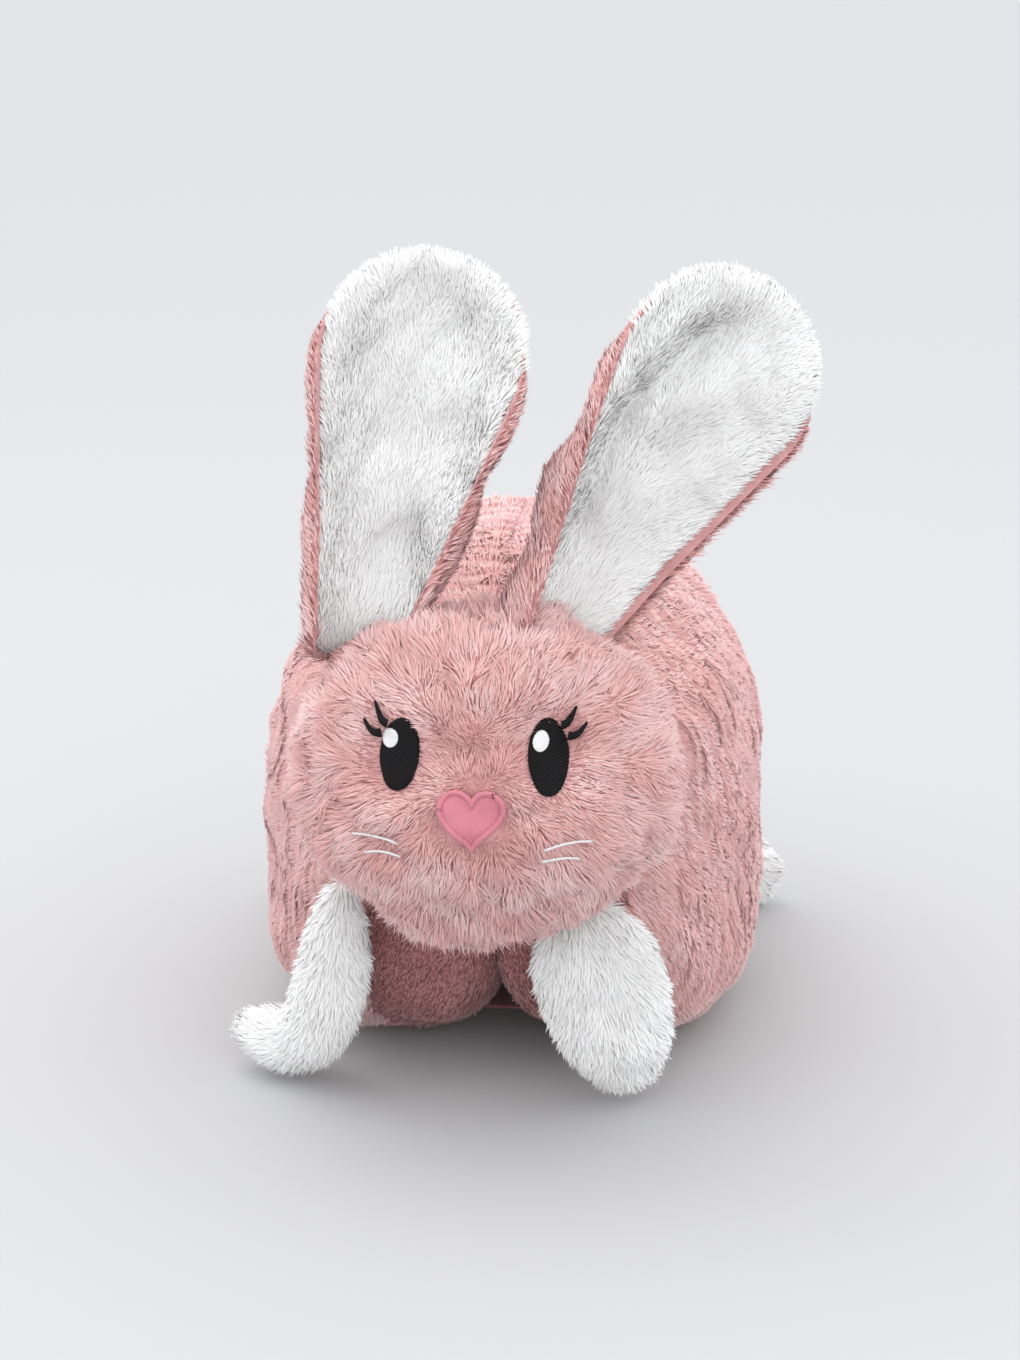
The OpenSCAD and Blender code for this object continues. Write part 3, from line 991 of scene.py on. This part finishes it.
class FaceEmbroidery:
    """Eyes, lashes, nose and whiskers, stitched on the face."""

    EYE_RAISED, EYE_CROWN = 0.0022, 0.0014
    SHINE_SIZE, SHINE_RAISED, SHINE_CROWN = (0.0075, 0.0088), 0.0037, 0.0006
    LASHES = (((0.0080, 0.009), (0.0165, 0.0140)), ((0.0050, 0.0135), (0.0115, 0.0215)))
    LASH_WIDTH, LASH_RAISED, LASH_SAG = 0.0046, 0.0050, 0.0022
    NOSE_HEIGHT, NOSE_RAISED, NOSE_CROWN = 0.200, 0.0042, 0.0012
    RIM_WIDTH, RIM_RAISED = 0.0030, 0.0050
    WHISKERS = (((0.034, 0.1860), (0.056, 0.1890)), ((0.033, 0.1800), (0.050, 0.1805)))
    WHISKER_WIDTH, WHISKER_RAISED, WHISKER_BOW = 0.0012, 0.0072, 0.0014

    def __init__(self, skin: Piece, head: Head) -> None:
        """Gets ready to lay stitching on the head's cloth.

        Args:
            skin: The head's cloth.
            head: The head that it belongs to.
        """
        bm = bmesh.new()
        bm.from_mesh(skin.data)
        self._tree = BVHTree.FromBMesh(bm)
        bm.free()
        self._head = head

    def lay(self, x: float, z: float, raised: float) -> Vector:
        """Returns the point above the cloth in front of (x, z)."""
        hit = self._tree.ray_cast(Vector((x, -1.0, z)), Vector((0.0, 1.0, 0.0)))[0]
        head = self._head
        outward = Vector(((hit.x - head.centre[0]) / head.half_width ** 2,
                          (hit.y - head.centre[1]) / head.face_depth ** 2,
                          (hit.z - head.centre[2]) / head.half_height ** 2)).normalized()
        return hit + outward * raised

    def patch(self, name: str, centre: tuple[float, float], outline: Array, raised: float,
              crown: float) -> Piece:
        """Makes a patch of satin stitch, crowned in its middle and tucked in at its edge.

        Args:
            name: The piece's name.
            centre: The patch's middle, across and up.
            outline: Its outline about the middle.
            raised: Height of its edge above the cloth.
            crown: How much its middle stands above its edge.

        Returns:
            The closed patch.
        """
        bm = bmesh.new()
        ring = bmesh.ops.create_circle(bm, segments=len(outline), radius=1.0)["verts"]
        shares = {vert: (1.0, index) for index, vert in enumerate(ring)}
        edges = list(bm.edges)
        rim = list(edges)
        for share in (0.95, 0.82, 0.6, 0.35):
            grown = bmesh.ops.extrude_edge_only(bm, edges=edges)["geom"]
            edges = [g for g in grown if isinstance(g, bmesh.types.BMEdge)]
            fresh = [g for g in grown if isinstance(g, bmesh.types.BMVert)]
            for vert in fresh:
                parent = next(e.other_vert(vert) for e in vert.link_edges
                              if e.other_vert(vert) in shares and e.other_vert(vert) not in fresh)
                shares[vert] = (share, shares[parent][1])
        middle = bmesh.ops.edgeloop_fill(bm, edges=edges)["faces"]
        for vert, (share, index) in shares.items():
            flat = outline[index] * share
            height = raised + crown * math.sqrt(max(0.0, 1 - share ** 2.4))
            vert.co = self.lay(centre[0] + flat[0], centre[1] + flat[1], height)
        bmesh.ops.poke(bm, faces=middle)
        skirt = bmesh.ops.extrude_edge_only(bm, edges=rim)["geom"]
        below = [g for g in skirt if isinstance(g, bmesh.types.BMVert)]
        bmesh.ops.translate(bm, vec=Vector((0.0, 0.8 * raised + 0.0008, 0.0)), verts=below)
        bottom = [g for g in skirt if isinstance(g, bmesh.types.BMEdge)]
        bmesh.ops.edgeloop_fill(bm, edges=bottom)
        return piece_of(bm, name)

    def cord(self, name: str, paths: Sequence[Array], width: float, raised: float, closed: bool = False,
             taper: bool = True) -> Piece:
        """Makes lines of stitching: rounded ridges that follow paths over the face.

        Args:
            name: The piece's name.
            paths: The lines, each as points across and up.
            width: The ridges' width.
            raised: Their height above the cloth.
            closed: Whether a line returns to its start.
            taper: Whether a line narrows to its end.

        Returns:
            The ridges as one piece.
        """
        bm = bmesh.new()
        along = bm.verts.layers.float_vector.new("along")
        for path in paths:
            places = [np.array(self.lay(p[0], p[1], raised)) for p in path]
            count, travelled, first, last = len(places), 0.0, None, None
            for index, place in enumerate(places):
                ahead = places[(index + 1) % count] if closed or index + 1 < count else place
                back = places[index - 1] if closed or index else place
                way = unit(ahead - back)
                across = unit(np.cross(way, np.array([0.0, -1.0, 0.0])))
                narrow = 1.0 if not taper else 1.0 - 0.75 * (index / (count - 1)) ** 1.5
                ring = bmesh.ops.create_circle(bm, segments=8, radius=1.0)["verts"]
                for vert in ring:
                    side, up = vert.co.x, vert.co.y
                    spot = place + across * side * width / 2 * narrow
                    spot = spot + np.array([0.0, -1.0, 0.0]) * up * width * 0.36
                    vert.co = Vector(spot)
                    vert[along] = Vector((travelled, 0.0, 0.0))
                travelled += float(np.linalg.norm(ahead - place))
                edges = [e for e in ring[0].link_edges]
                loop = self._loop(ring)
                if last is not None:
                    bmesh.ops.bridge_loops(bm, edges=last + loop)
                first = first or loop
                last = loop
            if closed:
                bmesh.ops.bridge_loops(bm, edges=last + first)
            else:
                bmesh.ops.edgeloop_fill(bm, edges=first)
                bmesh.ops.edgeloop_fill(bm, edges=last)
        return piece_of(bm, name)

    @staticmethod
    def _loop(ring: Sequence[bmesh.types.BMVert]) -> list[bmesh.types.BMEdge]:
        """Returns the edges between a ring's own vertices."""
        members = set(ring)
        return [e for e in {e for v in ring for e in v.link_edges} if set(e.verts) <= members]

    def _finish(self, piece: Piece, finish: ThreadFinish, node: str) -> None:
        """Dresses a piece of stitching and lets it stand for its node."""
        dressed(piece, finish)
        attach(piece, "head")
        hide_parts(node)

    def _oval(self, width: float, height: float, lean: float, count: int) -> Array:
        """Returns an oval's outline, leaning by an angle."""
        turn = np.linspace(0, 2 * math.pi, count, endpoint=False)
        flat = np.stack([width / 2 * np.cos(turn), height / 2 * np.sin(turn)], axis=1)
        c, s = math.cos(lean), math.sin(lean)
        return flat @ np.array([[c, s], [-s, c]])

    def _heart(self, width: float, count: int) -> Array:
        """Returns a heart's outline about its middle."""
        turn = math.pi / 2 - (np.arange(count) + 0.5) * 2 * math.pi / count
        x = -np.sin(turn) ** 3 / 2
        z = (13 * np.cos(turn) - 5 * np.cos(2 * turn) - 2 * np.cos(3 * turn) - np.cos(4 * turn)) / 32
        return width * np.stack([x, z], axis=1)

    def eye(self, side: Side) -> None:
        """Stitches an eye with its highlight and two lashes."""
        word, s = side.word, side.value
        box = Patch.of_node(f"{word}_eye_patch")
        centre = (box.x, box.z)
        oval = self._oval(2 * box.half_width * 0.86, 2 * box.half_height * 0.92, 0.1 * s, 44)
        self._finish(self.patch(f"{word}_eye", centre, oval, self.EYE_RAISED, self.EYE_CROWN),
                     BLACK_THREAD, f"{word}_eye_patch")
        spot = Patch.of_node(f"{word}_eye_highlight")
        shine = self._oval(*self.SHINE_SIZE, 0.0, 20)
        self._finish(self.patch(f"{word}_eye_shine", (spot.x, spot.z), shine, self.SHINE_RAISED,
                                self.SHINE_CROWN),
                     WHITE_THREAD, f"{word}_eye_highlight")
        lashes = []
        for start, stop in self.LASHES:
            steps = np.linspace(0, 1, 7)[:, None]
            line = np.array(start) * (1 - steps) + np.array(stop) * steps
            line[:, 1] -= self.LASH_SAG * np.sin(math.pi * steps[:, 0])
            line[:, 0] *= s
            lashes.append(line + np.array(centre))
        self._finish(self.cord(f"{word}_lashes", lashes, self.LASH_WIDTH, self.LASH_RAISED),
                     BLACK_THREAD, f"{word}_eyelashes")

    def nose(self) -> None:
        """Stitches the heart-shaped nose and its satin border."""
        box = Patch.of_node("nose_border")
        centre = (box.x, self.NOSE_HEIGHT)
        heart = self._heart(2 * box.half_width * 0.93, 56)
        self._finish(self.patch("nose", centre, heart, self.NOSE_RAISED, self.NOSE_CROWN),
                     ROSE_THREAD, "nose_heart")
        rim = self._heart(2 * box.half_width * 0.92, 64) + np.array(centre)
        self._finish(self.cord("nose_rim", [rim], self.RIM_WIDTH, self.RIM_RAISED, closed=True, taper=False),
                     ROSE_BORDER, "nose_border")

    def whiskers(self, side: Side) -> None:
        """Stitches one side's two whiskers."""
        lines = []
        for start, stop in self.WHISKERS:
            steps = np.linspace(0, 1, 9)[:, None]
            line = np.array(start) * (1 - steps) + np.array(stop) * steps
            line[:, 1] += self.WHISKER_BOW * np.sin(math.pi * steps[:, 0])
            line[:, 0] *= side.value
            lines.append(line)
        self._finish(self.cord(f"{side.word}_whisker_threads", lines, self.WHISKER_WIDTH,
                               self.WHISKER_RAISED, taper=False),
                     WHITE_THREAD, f"{side.word}_whiskers")

    def build(self) -> None:
        """Stitches the whole face."""
        for side in Side:
            self.eye(side)
            self.whiskers(side)
        self.nose()


# ---- ears -------------------------------------------------------------------------------------


@dataclass
class Ear:
    """A long soft ear of two layers, white in front and pink behind. Its section curls forward on
    both sides; the amounts are given at its root and at its tip."""

    side: Side
    root: Point
    lean: float                              # towards the rabbit's left, in degrees
    twist: tuple[float, float]               # how far its front turns outwards
    curl_inner: tuple[float, float]
    curl_outer: tuple[float, float]
    crease: float = 0.0                      # depth of the crease along its length
    dish: float = 0.0                        # depth of the hollow near its tip
    length: float = 0.184
    tip_radius: float = 0.0475
    root_radius: float = 0.022
    thickness: float = 0.0085
    skirt: float = 0.016                     # how far its root reaches below the hinge line
    border: float = 0.0042                   # how far the back layer shows past the front one
    plush: Strand = Strand(0.0078, 0.0010, rise=0.30, gather=0.34, tuft=0.012, spread=0.13)
    front_density: float = 1250000.0
    back_density: float = 900000.0

    def width_at(self, up: Array) -> Array:
        """Returns the ear's half width at a height along it."""
        share = np.clip(up / (self.length - self.tip_radius), -0.1, 1.0)
        return self.root_radius + (self.tip_radius - self.root_radius) * share

    def outline(self, wider: float) -> Outline:
        """Returns the ear's flat outline, across and along."""
        tip, root = self.tip_radius + wider, self.root_radius + wider
        high, low = self.length - self.tip_radius - 2.2 * wider, self.root_radius - self.skirt
        slope = math.degrees(math.asin((tip - root) / (high - low)))
        points = arc((0.0, high), tip, -slope, 180 + slope, 40)
        points += arc((0.0, low), root, 180 + slope, 360 - slope, 18)
        return Outline(points, (0.0, 0.6 * self.length))

    def _section(self, across: Array, up: Array) -> tuple[Array, Array, Array]:
        """Curls the ear's flat section.

        Args:
            across: Places across the flat ear, outwards from its middle line.
            up: Places along it.

        Returns:
            The curled place across, how far forward it is, and the section's direction there.
        """
        share = np.clip(up / self.length, 0.0, 1.0)
        half = self.width_at(up)
        twist = -(self.twist[0] + (self.twist[1] - self.twist[0]) * share)
        inner = self.curl_inner[0] + (self.curl_inner[1] - self.curl_inner[0]) * share
        outer = self.curl_outer[0] + (self.curl_outer[1] - self.curl_outer[0]) * share
        bend = np.where(across < 0, inner, outer) / half
        bend = np.maximum(bend, 0.5)
        turn = twist + bend * across
        sideways = (np.sin(turn) - np.sin(twist)) / bend
        forward = (np.cos(twist) - np.cos(turn)) / bend
        return sideways, forward, turn

    def _fit(self, up: Array) -> tuple[Array, Array]:
        """Returns the scale and shift that keep the curled ear's width as seen from the front."""
        sample = np.linspace(-1, 1, 41)
        heights = np.linspace(-self.skirt, self.length, 24)
        scales, shifts = [], []
        for height in heights:
            half = self.width_at(np.full(41, height))
            sideways = self._section(sample * half, np.full(41, height))[0]
            low, high = sideways.min(), sideways.max()
            scales.append(2 * half[0] / (high - low))
            shifts.append(-(low + high) / 2 * scales[-1])
        return np.interp(up, heights, scales), np.interp(up, heights, shifts)

    def _place(self, across: Array, up: Array, height: Array) -> Array:
        """Returns the points of the shared frame for points of the flat ear.

        Args:
            across: Places across the flat ear, outwards.
            up: Places along it.
            height: Distances in front of its middle layer.
        """
        scale, shift = self._fit(up)
        sideways, forward, turn = self._section(across, up)
        sideways, forward = sideways * scale + shift, forward * scale
        valley = np.interp(up, [0.05, 0.108, 0.181], [-0.013, -0.023, 0.004])
        reach = ease(up, 0.03, 0.08) * (1 - ease(up, 0.15, 0.19))
        forward -= self.crease * bell(across - valley, 0.010) * reach
        forward += 0.6 * self.crease * bell(across - valley + 0.020, 0.012) * reach
        forward -= self.dish * bell(across, 0.034) * bell(up - 0.72 * self.length, 0.034)
        forward += 0.020 * (1 - ease(up, -self.skirt, 0.055))
        sideways = sideways - height * np.sin(turn)
        forward = forward + height * np.cos(turn)
        lean = math.radians(self.lean)
        out = np.array([math.cos(lean), 0.0, -math.sin(lean)]) * self.side.value
        rise = np.array([math.sin(lean), 0.0, math.cos(lean)])
        front = np.array([0.0, -1.0, 0.0])
        return (np.array(self.root) + np.outer(sideways, out) + np.outer(up, rise)
                + np.outer(forward, front))

    def _form(self, layer: Layer) -> Form:
        """Returns the function that shapes a ball into one of the ear's layers."""
        outline = self.outline(0.0 if layer is Layer.FRONT else self.border)

        def form(ball: Array) -> Array:
            """Returns the places of the ball's points on the layer."""
            angle = np.arctan2(ball[:, 1], ball[:, 0])
            out = np.hypot(ball[:, 0], ball[:, 1]) ** 0.9
            reach = outline.at(angle) * out
            across = outline.centre[0] + reach * np.cos(angle)
            up = outline.centre[1] + reach * np.sin(angle)
            facing = ball[:, 2] * layer.value
            crown = self.thickness * np.maximum(facing, 0.0) ** 0.75
            flat = np.stack([across, up, 0 * up], axis=1)
            crown *= (1 + 0.22 * Ripple(0.05, Seed.EAR_LUMPS).value(flat)
                      + 0.1 * Ripple(0.02, Seed.EAR_DENTS).value(flat))
            height = layer.value * (crown + 0.0003)
            return self._place(across, up, height)

        return form

    def hold(self) -> Hold:
        """Returns the bend from the head into this ear."""
        lean = math.radians(self.lean)
        start, end = -0.006, 0.034
        rise = np.array([math.sin(lean), 0.0, math.cos(lean)])
        return Hold("head", f"{self.side.word}_ear",
                    tuple(np.array(self.root) + start * rise), tuple(np.array(self.root) + end * rise))

    def _across(self, points: Array) -> tuple[Array, Array]:
        """Returns where points are across and along the ear, as seen from the front."""
        lean = math.radians(self.lean)
        moved = points - np.array(self.root)
        across = (moved[:, 0] * math.cos(lean) - moved[:, 2] * math.sin(lean)) * self.side.value
        return across, moved[:, 0] * math.sin(lean) + moved[:, 2] * math.cos(lean)

    def comb(self, points: Array, normals: Array) -> Array:
        """Returns the way the pile lies: up the ear and out over its edges."""
        lean = math.radians(self.lean)
        across, up = self._across(points)
        out = np.array([math.cos(lean), 0.0, -math.sin(lean)]) * self.side.value
        rise = np.array([math.sin(lean), 0.0, math.cos(lean)])
        share = across / self.width_at(up)
        sideways = 1.1 * np.sign(share) * np.abs(share) ** 1.6
        way = np.outer(sideways, out) + rise * (1.0 - 0.3 * ease(up, 0.12, 0.19))[:, None]
        return way + 0.22 * Ripple(0.03, Seed.EAR_LOCKS + self.side.value).slope(points)

    def _pile(self, layer: Layer, skin: Piece) -> None:
        """Grows one layer's pile."""
        front = layer is Layer.FRONT
        word = self.side.word

        def trim(points: Array, normals: Array) -> Array:
            """Returns the length: longer at the root and at the edges."""
            across, up = self._across(points)
            edge = ease(np.abs(across) / self.width_at(up), 0.75, 1.0)
            tip = ease(up, 0.125, 0.165)
            reach = 0.25 * tip if front else -0.75 * tip
            return 0.75 + 0.35 * edge * (1 - tip) + reach * edge + 0.35 * (1 - ease(up, 0.0, 0.05))

        pile = Pile(f"{word}_ear_{layer.name.lower()}_pile", WHITE if front else PINK, self.plush,
                    self.front_density if front else self.back_density, self.comb,
                    Seed.EAR_PILE + 10 * self.side.value + layer.value,
                    "white_plush" if front else "pink_long_plush", self.hold(), trim, outer=layer.value)
        pile.grow(skin)

    def build(self) -> None:
        """Builds the ear's two layers and their pile."""
        for layer in Layer:
            front = layer is Layer.FRONT
            name = f"{self.side.word}_ear_{layer.name.lower()}"
            skin = dressed(piece_of(globe(112, 56, self._form(layer)), name + "_cloth"),
                           WHITE if front else PINK)
            self._pile(layer, skin)
            self.hold().take(skin)
            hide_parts(name)


# ---- paws, feet and tail ----------------------------------------------------------------------


@dataclass
class Limb:
    """A flat stuffed paw or foot: a tapering cushion along a curved line, sewn on at its top."""

    name: str
    node: str
    path: tuple[Point, ...]                  # the curve's control points, top first
    half_widths: tuple[float, ...]
    half_depths: tuple[float, ...]
    hold: Hold
    seed: int
    strand: Strand = Strand(0.0088, 0.0010, rise=0.36, gather=0.42, tuft=0.013, spread=0.15)
    density: float = 1150000.0
    padding: float = 0.0035                  # from the skin in to the filling
    facing: Point = (0.0, -1.0, 0.0)

    def _curve(self, share: Array) -> Array:
        """Returns points on the limb's middle line."""
        points, degree = np.array(self.path), len(self.path) - 1
        weights = [math.comb(degree, k) * share ** k * (1 - share) ** (degree - k) for k in range(degree + 1)]
        return np.stack(weights, axis=1) @ points

    def _way(self, share: Array) -> Array:
        """Returns the middle line's direction."""
        step = 0.01
        return unit(self._curve(np.minimum(share + step, 1.0)) - self._curve(np.maximum(share - step, 0.0)))

    def _form(self, inset: float) -> Form:
        """Returns the function that shapes a ball into the limb."""
        marks = np.linspace(0, 1, len(self.half_widths))

        def form(ball: Array) -> Array:
            """Returns the places of the ball's points on the limb."""
            angle = np.arctan2(ball[:, 1], ball[:, 0])
            share = (1 - ball[:, 2]) / 2
            size = (1 - np.abs(ball[:, 2]) ** 3.2) ** 0.42
            size[np.abs(ball[:, 2]) > 0.9999] = 0.0
            way = self._way(share)
            across = unit(np.cross(np.array(self.facing), way))
            deep = unit(np.cross(way, across))
            wide = np.interp(share, marks, self.half_widths) - inset
            thick = np.interp(share, marks, self.half_depths) - inset
            lens = np.sign(np.sin(angle)) * np.abs(np.sin(angle)) ** 1.2
            places = (self._curve(share) + across * (np.cos(angle) * wide * size)[:, None]
                      + deep * (lens * thick * size)[:, None])
            lift = 0.0011 * Ripple(0.03, self.seed + 60).value(places)
            places += deep * (lift * lens * size)[:, None]
            places[:, 2] = np.maximum(places[:, 2], 0.0015 + inset)
            return places

        return form

    def comb(self, points: Array, normals: Array) -> Array:
        """Returns the way the pile lies: down the limb and outwards at its edges."""
        shares = np.linspace(0, 1, 60)
        line = self._curve(shares)
        nearest = np.argmin(((points[:, None, :] - line[None, :, :]) ** 2).sum(axis=2), axis=1)
        away = unit(points - line[nearest])
        return self._way(shares[nearest]) + 0.55 * away + 0.2 * Ripple(0.03, self.seed + 61).slope(points)

    def build(self) -> None:
        """Builds the limb's cloth, filling and pile."""
        skin = dressed(piece_of(globe(72, 60, self._form(0.0)), f"{self.name}_cloth"), WHITE)
        fill = dressed(piece_of(globe(32, 24, self._form(self.padding)), f"{self.name}_filling"), FILLING)
        pile = Pile(f"{self.name}_pile", WHITE, self.strand, self.density, self.comb, self.seed,
                    "white_plush", self.hold)
        pile.grow(skin)
        for piece in (skin, fill):
            self.hold.take(piece)
        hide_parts(f"{self.node}_cover")
        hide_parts(f"{self.node}_stuffing")


@dataclass
class Tail:
    """A round tuft of long white pile on a small stuffed ball."""

    centre: Point = (0.0, 0.206, 0.165)
    radius: float = 0.0225
    plush: Strand = Strand(0.012, 0.0014, rise=0.75, gather=0.5, spread=0.3)
    plush_density: float = 1300000.0

    def _form(self, ball: Array) -> Array:
        """Returns the places of the ball's points on the tail."""
        lumps = 1 + 0.05 * Ripple(1.2, Seed.TAIL_LUMPS).value(ball)
        return np.array(self.centre) + ball * self.radius * lumps[:, None]

    def comb(self, points: Array, normals: Array) -> Array:
        """Returns the way the pile lies: back and a little down."""
        return np.array([0.0, 0.7, -0.7]) + 0.5 * Ripple(0.03, Seed.TAIL_LOCKS).slope(points)

    def build(self) -> None:
        """Builds the tail's ball and pile."""
        skin = dressed(piece_of(globe(48, 32, self._form), "tail_cloth"), WHITE)
        Pile("tail_pile", WHITE, self.plush, self.plush_density, self.comb, Seed.TAIL_PILE, "white_plush",
             Hold("tail")).grow(skin)
        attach(skin, "tail")
        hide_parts("tail_pompom")


@dataclass
class ClosingStrap:
    """The plush strap under the body with its hook-and-loop fastening."""

    corner: float = 0.0035

    def _strip(self, node: str, name: str, finish: object, body: str, crown: float) -> Piece:
        """Makes one strip that fills a node's box: rounded corners, rolled edges, a soft crown.

        Args:
            node: The node that the strip stands for.
            name: The strip's name.
            finish: Its finish.
            body: The body that it moves with.
            crown: How much its middle rises above its edges, as a share of its thickness.

        Returns:
            The strip.
        """
        low, high = (Vector(v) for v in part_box(node))
        size, middle = high - low, (high + low) / 2
        bm = bmesh.new()
        bmesh.ops.create_cube(bm, size=1.0)
        bmesh.ops.scale(bm, vec=size, verts=bm.verts)
        upright = [e for e in bm.edges if abs(e.verts[0].co.z - e.verts[1].co.z) > size.z / 2]
        bmesh.ops.bevel(bm, geom=upright, offset=min(self.corner, 0.3 * min(size.x, size.y)), segments=5,
                        profile=0.5, affect="EDGES", material=-1)
        level = [e for e in bm.edges if abs(e.verts[0].co.z - e.verts[1].co.z) < 1e-6]
        bmesh.ops.bevel(bm, geom=level, offset=0.3 * size.z, segments=3, profile=0.5, affect="EDGES",
                        material=-1)
        bmesh.ops.triangulate(bm, faces=[f for f in bm.faces if len(f.verts) > 4])
        long_edges = [e for e in bm.edges if e.calc_length() > 0.006]
        bmesh.ops.subdivide_edges(bm, edges=long_edges, cuts=6, use_grid_fill=True)
        for vert in bm.verts:
            inside = (1 - (2 * vert.co.x / size.x) ** 4) * (1 - (2 * vert.co.y / size.y) ** 4)
            vert.co.z *= 1 - crown * (1 - max(0.0, inside))
        bmesh.ops.translate(bm, vec=middle, verts=bm.verts)
        piece = dressed(piece_of(bm, name), finish)
        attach(piece, body)
        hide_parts(node)
        return piece

    def build(self) -> None:
        """Builds the strap, its sewn end and the two halves of its fastening."""
        # the strap takes the belly's painted shade
        self._strip("closing_strap", "strap_cloth", BELLY_PINK_PAINTED_SHADE, "strap", 0.3)
        self._strip("strap_sewn_end", "strap_sewn_end_cloth", BELLY_PINK_PAINTED_SHADE,
                    "right_half", 0.3)
        self._strip("strap_hook_tape", "strap_hooks", HOOK_TAPE, "strap", 0.2)
        self._strip("strap_loop_patch", "strap_loops", LOOP_TAPE, "left_half", 0.2)


# ---- studio -----------------------------------------------------------------------------------


@dataclass(frozen=True)
class SoftLight:
    """A square soft light: where it hangs, the point it faces, its side and its power in watts."""

    name: str
    place: Point
    aim: Point
    size: float
    energy: float

    def hang(self) -> None:
        """Hangs the light."""
        data = bpy.data.lights.new(self.name, "AREA")
        data.shape, data.size, data.energy = "SQUARE", self.size, self.energy
        light = bpy.data.objects.new(self.name, data)
        light.location = self.place
        light.rotation_mode = "QUATERNION"
        light.rotation_quaternion = (Vector(self.aim) - Vector(self.place)).to_track_quat("-Z", "Y")
        bpy.context.scene.collection.objects.link(light)


@dataclass
class Studio:
    """A plain pale floor, soft light and the camera."""

    azimuth: float = 5.0
    elevation: float = 18.0
    distance: float = 1.75
    target: Point = (0.0, -0.030, 0.200)
    lens: float = 85.0
    floor_half: float = 14.0
    horizon_light: float = 1.65
    zenith_light: float = 1.5
    lights: tuple[SoftLight, ...] = (
        SoftLight("overhead", (-0.6, -0.1, 2.0), (0.0, 0.0, 0.1), 1.4, 9.0),
        SoftLight("front", (0.9, -2.4, 1.3), (0.0, 0.0, 0.2), 1.6, 8.0),
    )

    def camera(self) -> None:
        """Sets up the camera."""
        data = bpy.data.cameras.new("camera")
        data.lens = self.lens
        data.sensor_fit = "VERTICAL"
        data.sensor_height = 36.0
        data.clip_start, data.clip_end = 0.05, 60.0
        camera = bpy.data.objects.new("camera", data)
        a, e = math.radians(self.azimuth), math.radians(self.elevation)
        back = Vector((math.sin(a) * math.cos(e), -math.cos(a) * math.cos(e), math.sin(e)))
        camera.location = Vector(self.target) + back * self.distance
        camera.rotation_mode = "QUATERNION"
        camera.rotation_quaternion = (-back).to_track_quat("-Z", "Y")
        bpy.context.scene.collection.objects.link(camera)
        bpy.context.scene.camera = camera

    def floor(self) -> None:
        """Lays the floor."""
        bm = bmesh.new()
        bmesh.ops.create_grid(bm, x_segments=8, y_segments=8, size=self.floor_half)
        floor = piece_of(bm, "floor")
        floor.data.materials.append(PAPER.cloth())

    def sky(self) -> None:
        """Surrounds the studio with soft light, graded from the horizon to overhead."""
        world = bpy.data.worlds.new("soft_room")
        bpy.context.scene.world = world
        world.use_nodes = True
        nodes, links = world.node_tree.nodes, world.node_tree.links
        split, level = nodes.new("ShaderNodeSeparateXYZ"), nodes.new("ShaderNodeMapRange")
        links.new(nodes.new("ShaderNodeTexCoord").outputs["Generated"], split.inputs[0])
        links.new(split.outputs["Z"], level.inputs["Value"])
        level.inputs["To Min"].default_value = self.horizon_light
        level.inputs["To Max"].default_value = self.zenith_light
        backdrop = nodes["Background"]
        backdrop.inputs["Color"].default_value = (0.97, 0.98, 1.0, 1.0)
        links.new(level.outputs["Result"], backdrop.inputs["Strength"])

    def build(self) -> None:
        """Builds the studio."""
        self.camera()
        self.floor()
        for light in self.lights:
            light.hang()
        self.sky()
        bpy.context.scene.view_settings.view_transform = "Standard"


def rabbit() -> None:
    """Builds the whole rabbit."""
    for side in Side:
        Lobe(side).build()
    head = Head()
    FaceEmbroidery(head.build(), head).build()
    Ear(Side.LEFT, (0.034, -0.142, 0.273), 31.5, (0.62, 0.12), (1.7, 0.85), (0.8, 0.5), crease=0.011,
        length=0.197).build()
    Ear(Side.RIGHT, (-0.062, -0.142, 0.268), 12.5, (0.0, 0.0), (1.9, 0.9), (1.8, 0.9), dish=0.009,
        length=0.190).build()
    Limb("left_paw", "left_front_paw",
         ((0.045, -0.141, 0.113), (0.055, -0.144, 0.085), (0.064, -0.143, 0.045), (0.073, -0.136, 0.012)),
         (0.027, 0.032, 0.032, 0.028, 0.021), (0.008, 0.010, 0.011, 0.012, 0.011),
         Hold("left_half", "left_front_paw", (0.048, -0.139, 0.116), (0.056, -0.136, 0.088)),
         Seed.LEFT_PAW).build()
    Limb("right_paw", "right_front_paw",
         ((-0.078, -0.139, 0.122), (-0.083, -0.142, 0.085), (-0.085, -0.138, 0.012), (-0.108, -0.118, 0.021),
          (-0.139, -0.112, 0.026)),
         (0.013, 0.0175, 0.018, 0.0175, 0.0175, 0.0155), (0.008, 0.010, 0.012, 0.014, 0.014, 0.011),
         Hold("right_half", "right_front_paw", (-0.074, -0.139, 0.118), (-0.080, -0.137, 0.090)),
         Seed.RIGHT_PAW).build()
    for side in Side:
        s = side.value
        Limb(f"{side.word}_foot", f"{side.word}_rear_foot",
             ((s * 0.103, 0.150, 0.046), (s * 0.122, 0.151, 0.024), (s * 0.143, 0.152, 0.012)),
             (0.013, 0.020, 0.019), (0.010, 0.012, 0.010),
             Hold(f"{side.word}_half", f"{side.word}_rear_foot", (s * 0.105, 0.150, 0.044),
                  (s * 0.117, 0.151, 0.030)), Seed.FOOT + s).build()
    Tail().build()
    ClosingStrap().build()
    seam = bpy.data.objects["neck_seam"]
    seam.data.materials.clear()
    dressed(seam, SEAM_THREAD)


def main() -> None:
    """Builds the studio and the rabbit."""
    logging.basicConfig(level=logging.INFO, format="%(name)s %(message)s")
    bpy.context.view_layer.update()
    Studio().build()
    rabbit()
    bpy.context.view_layer.update()


if __name__ == "__main__":
    main()
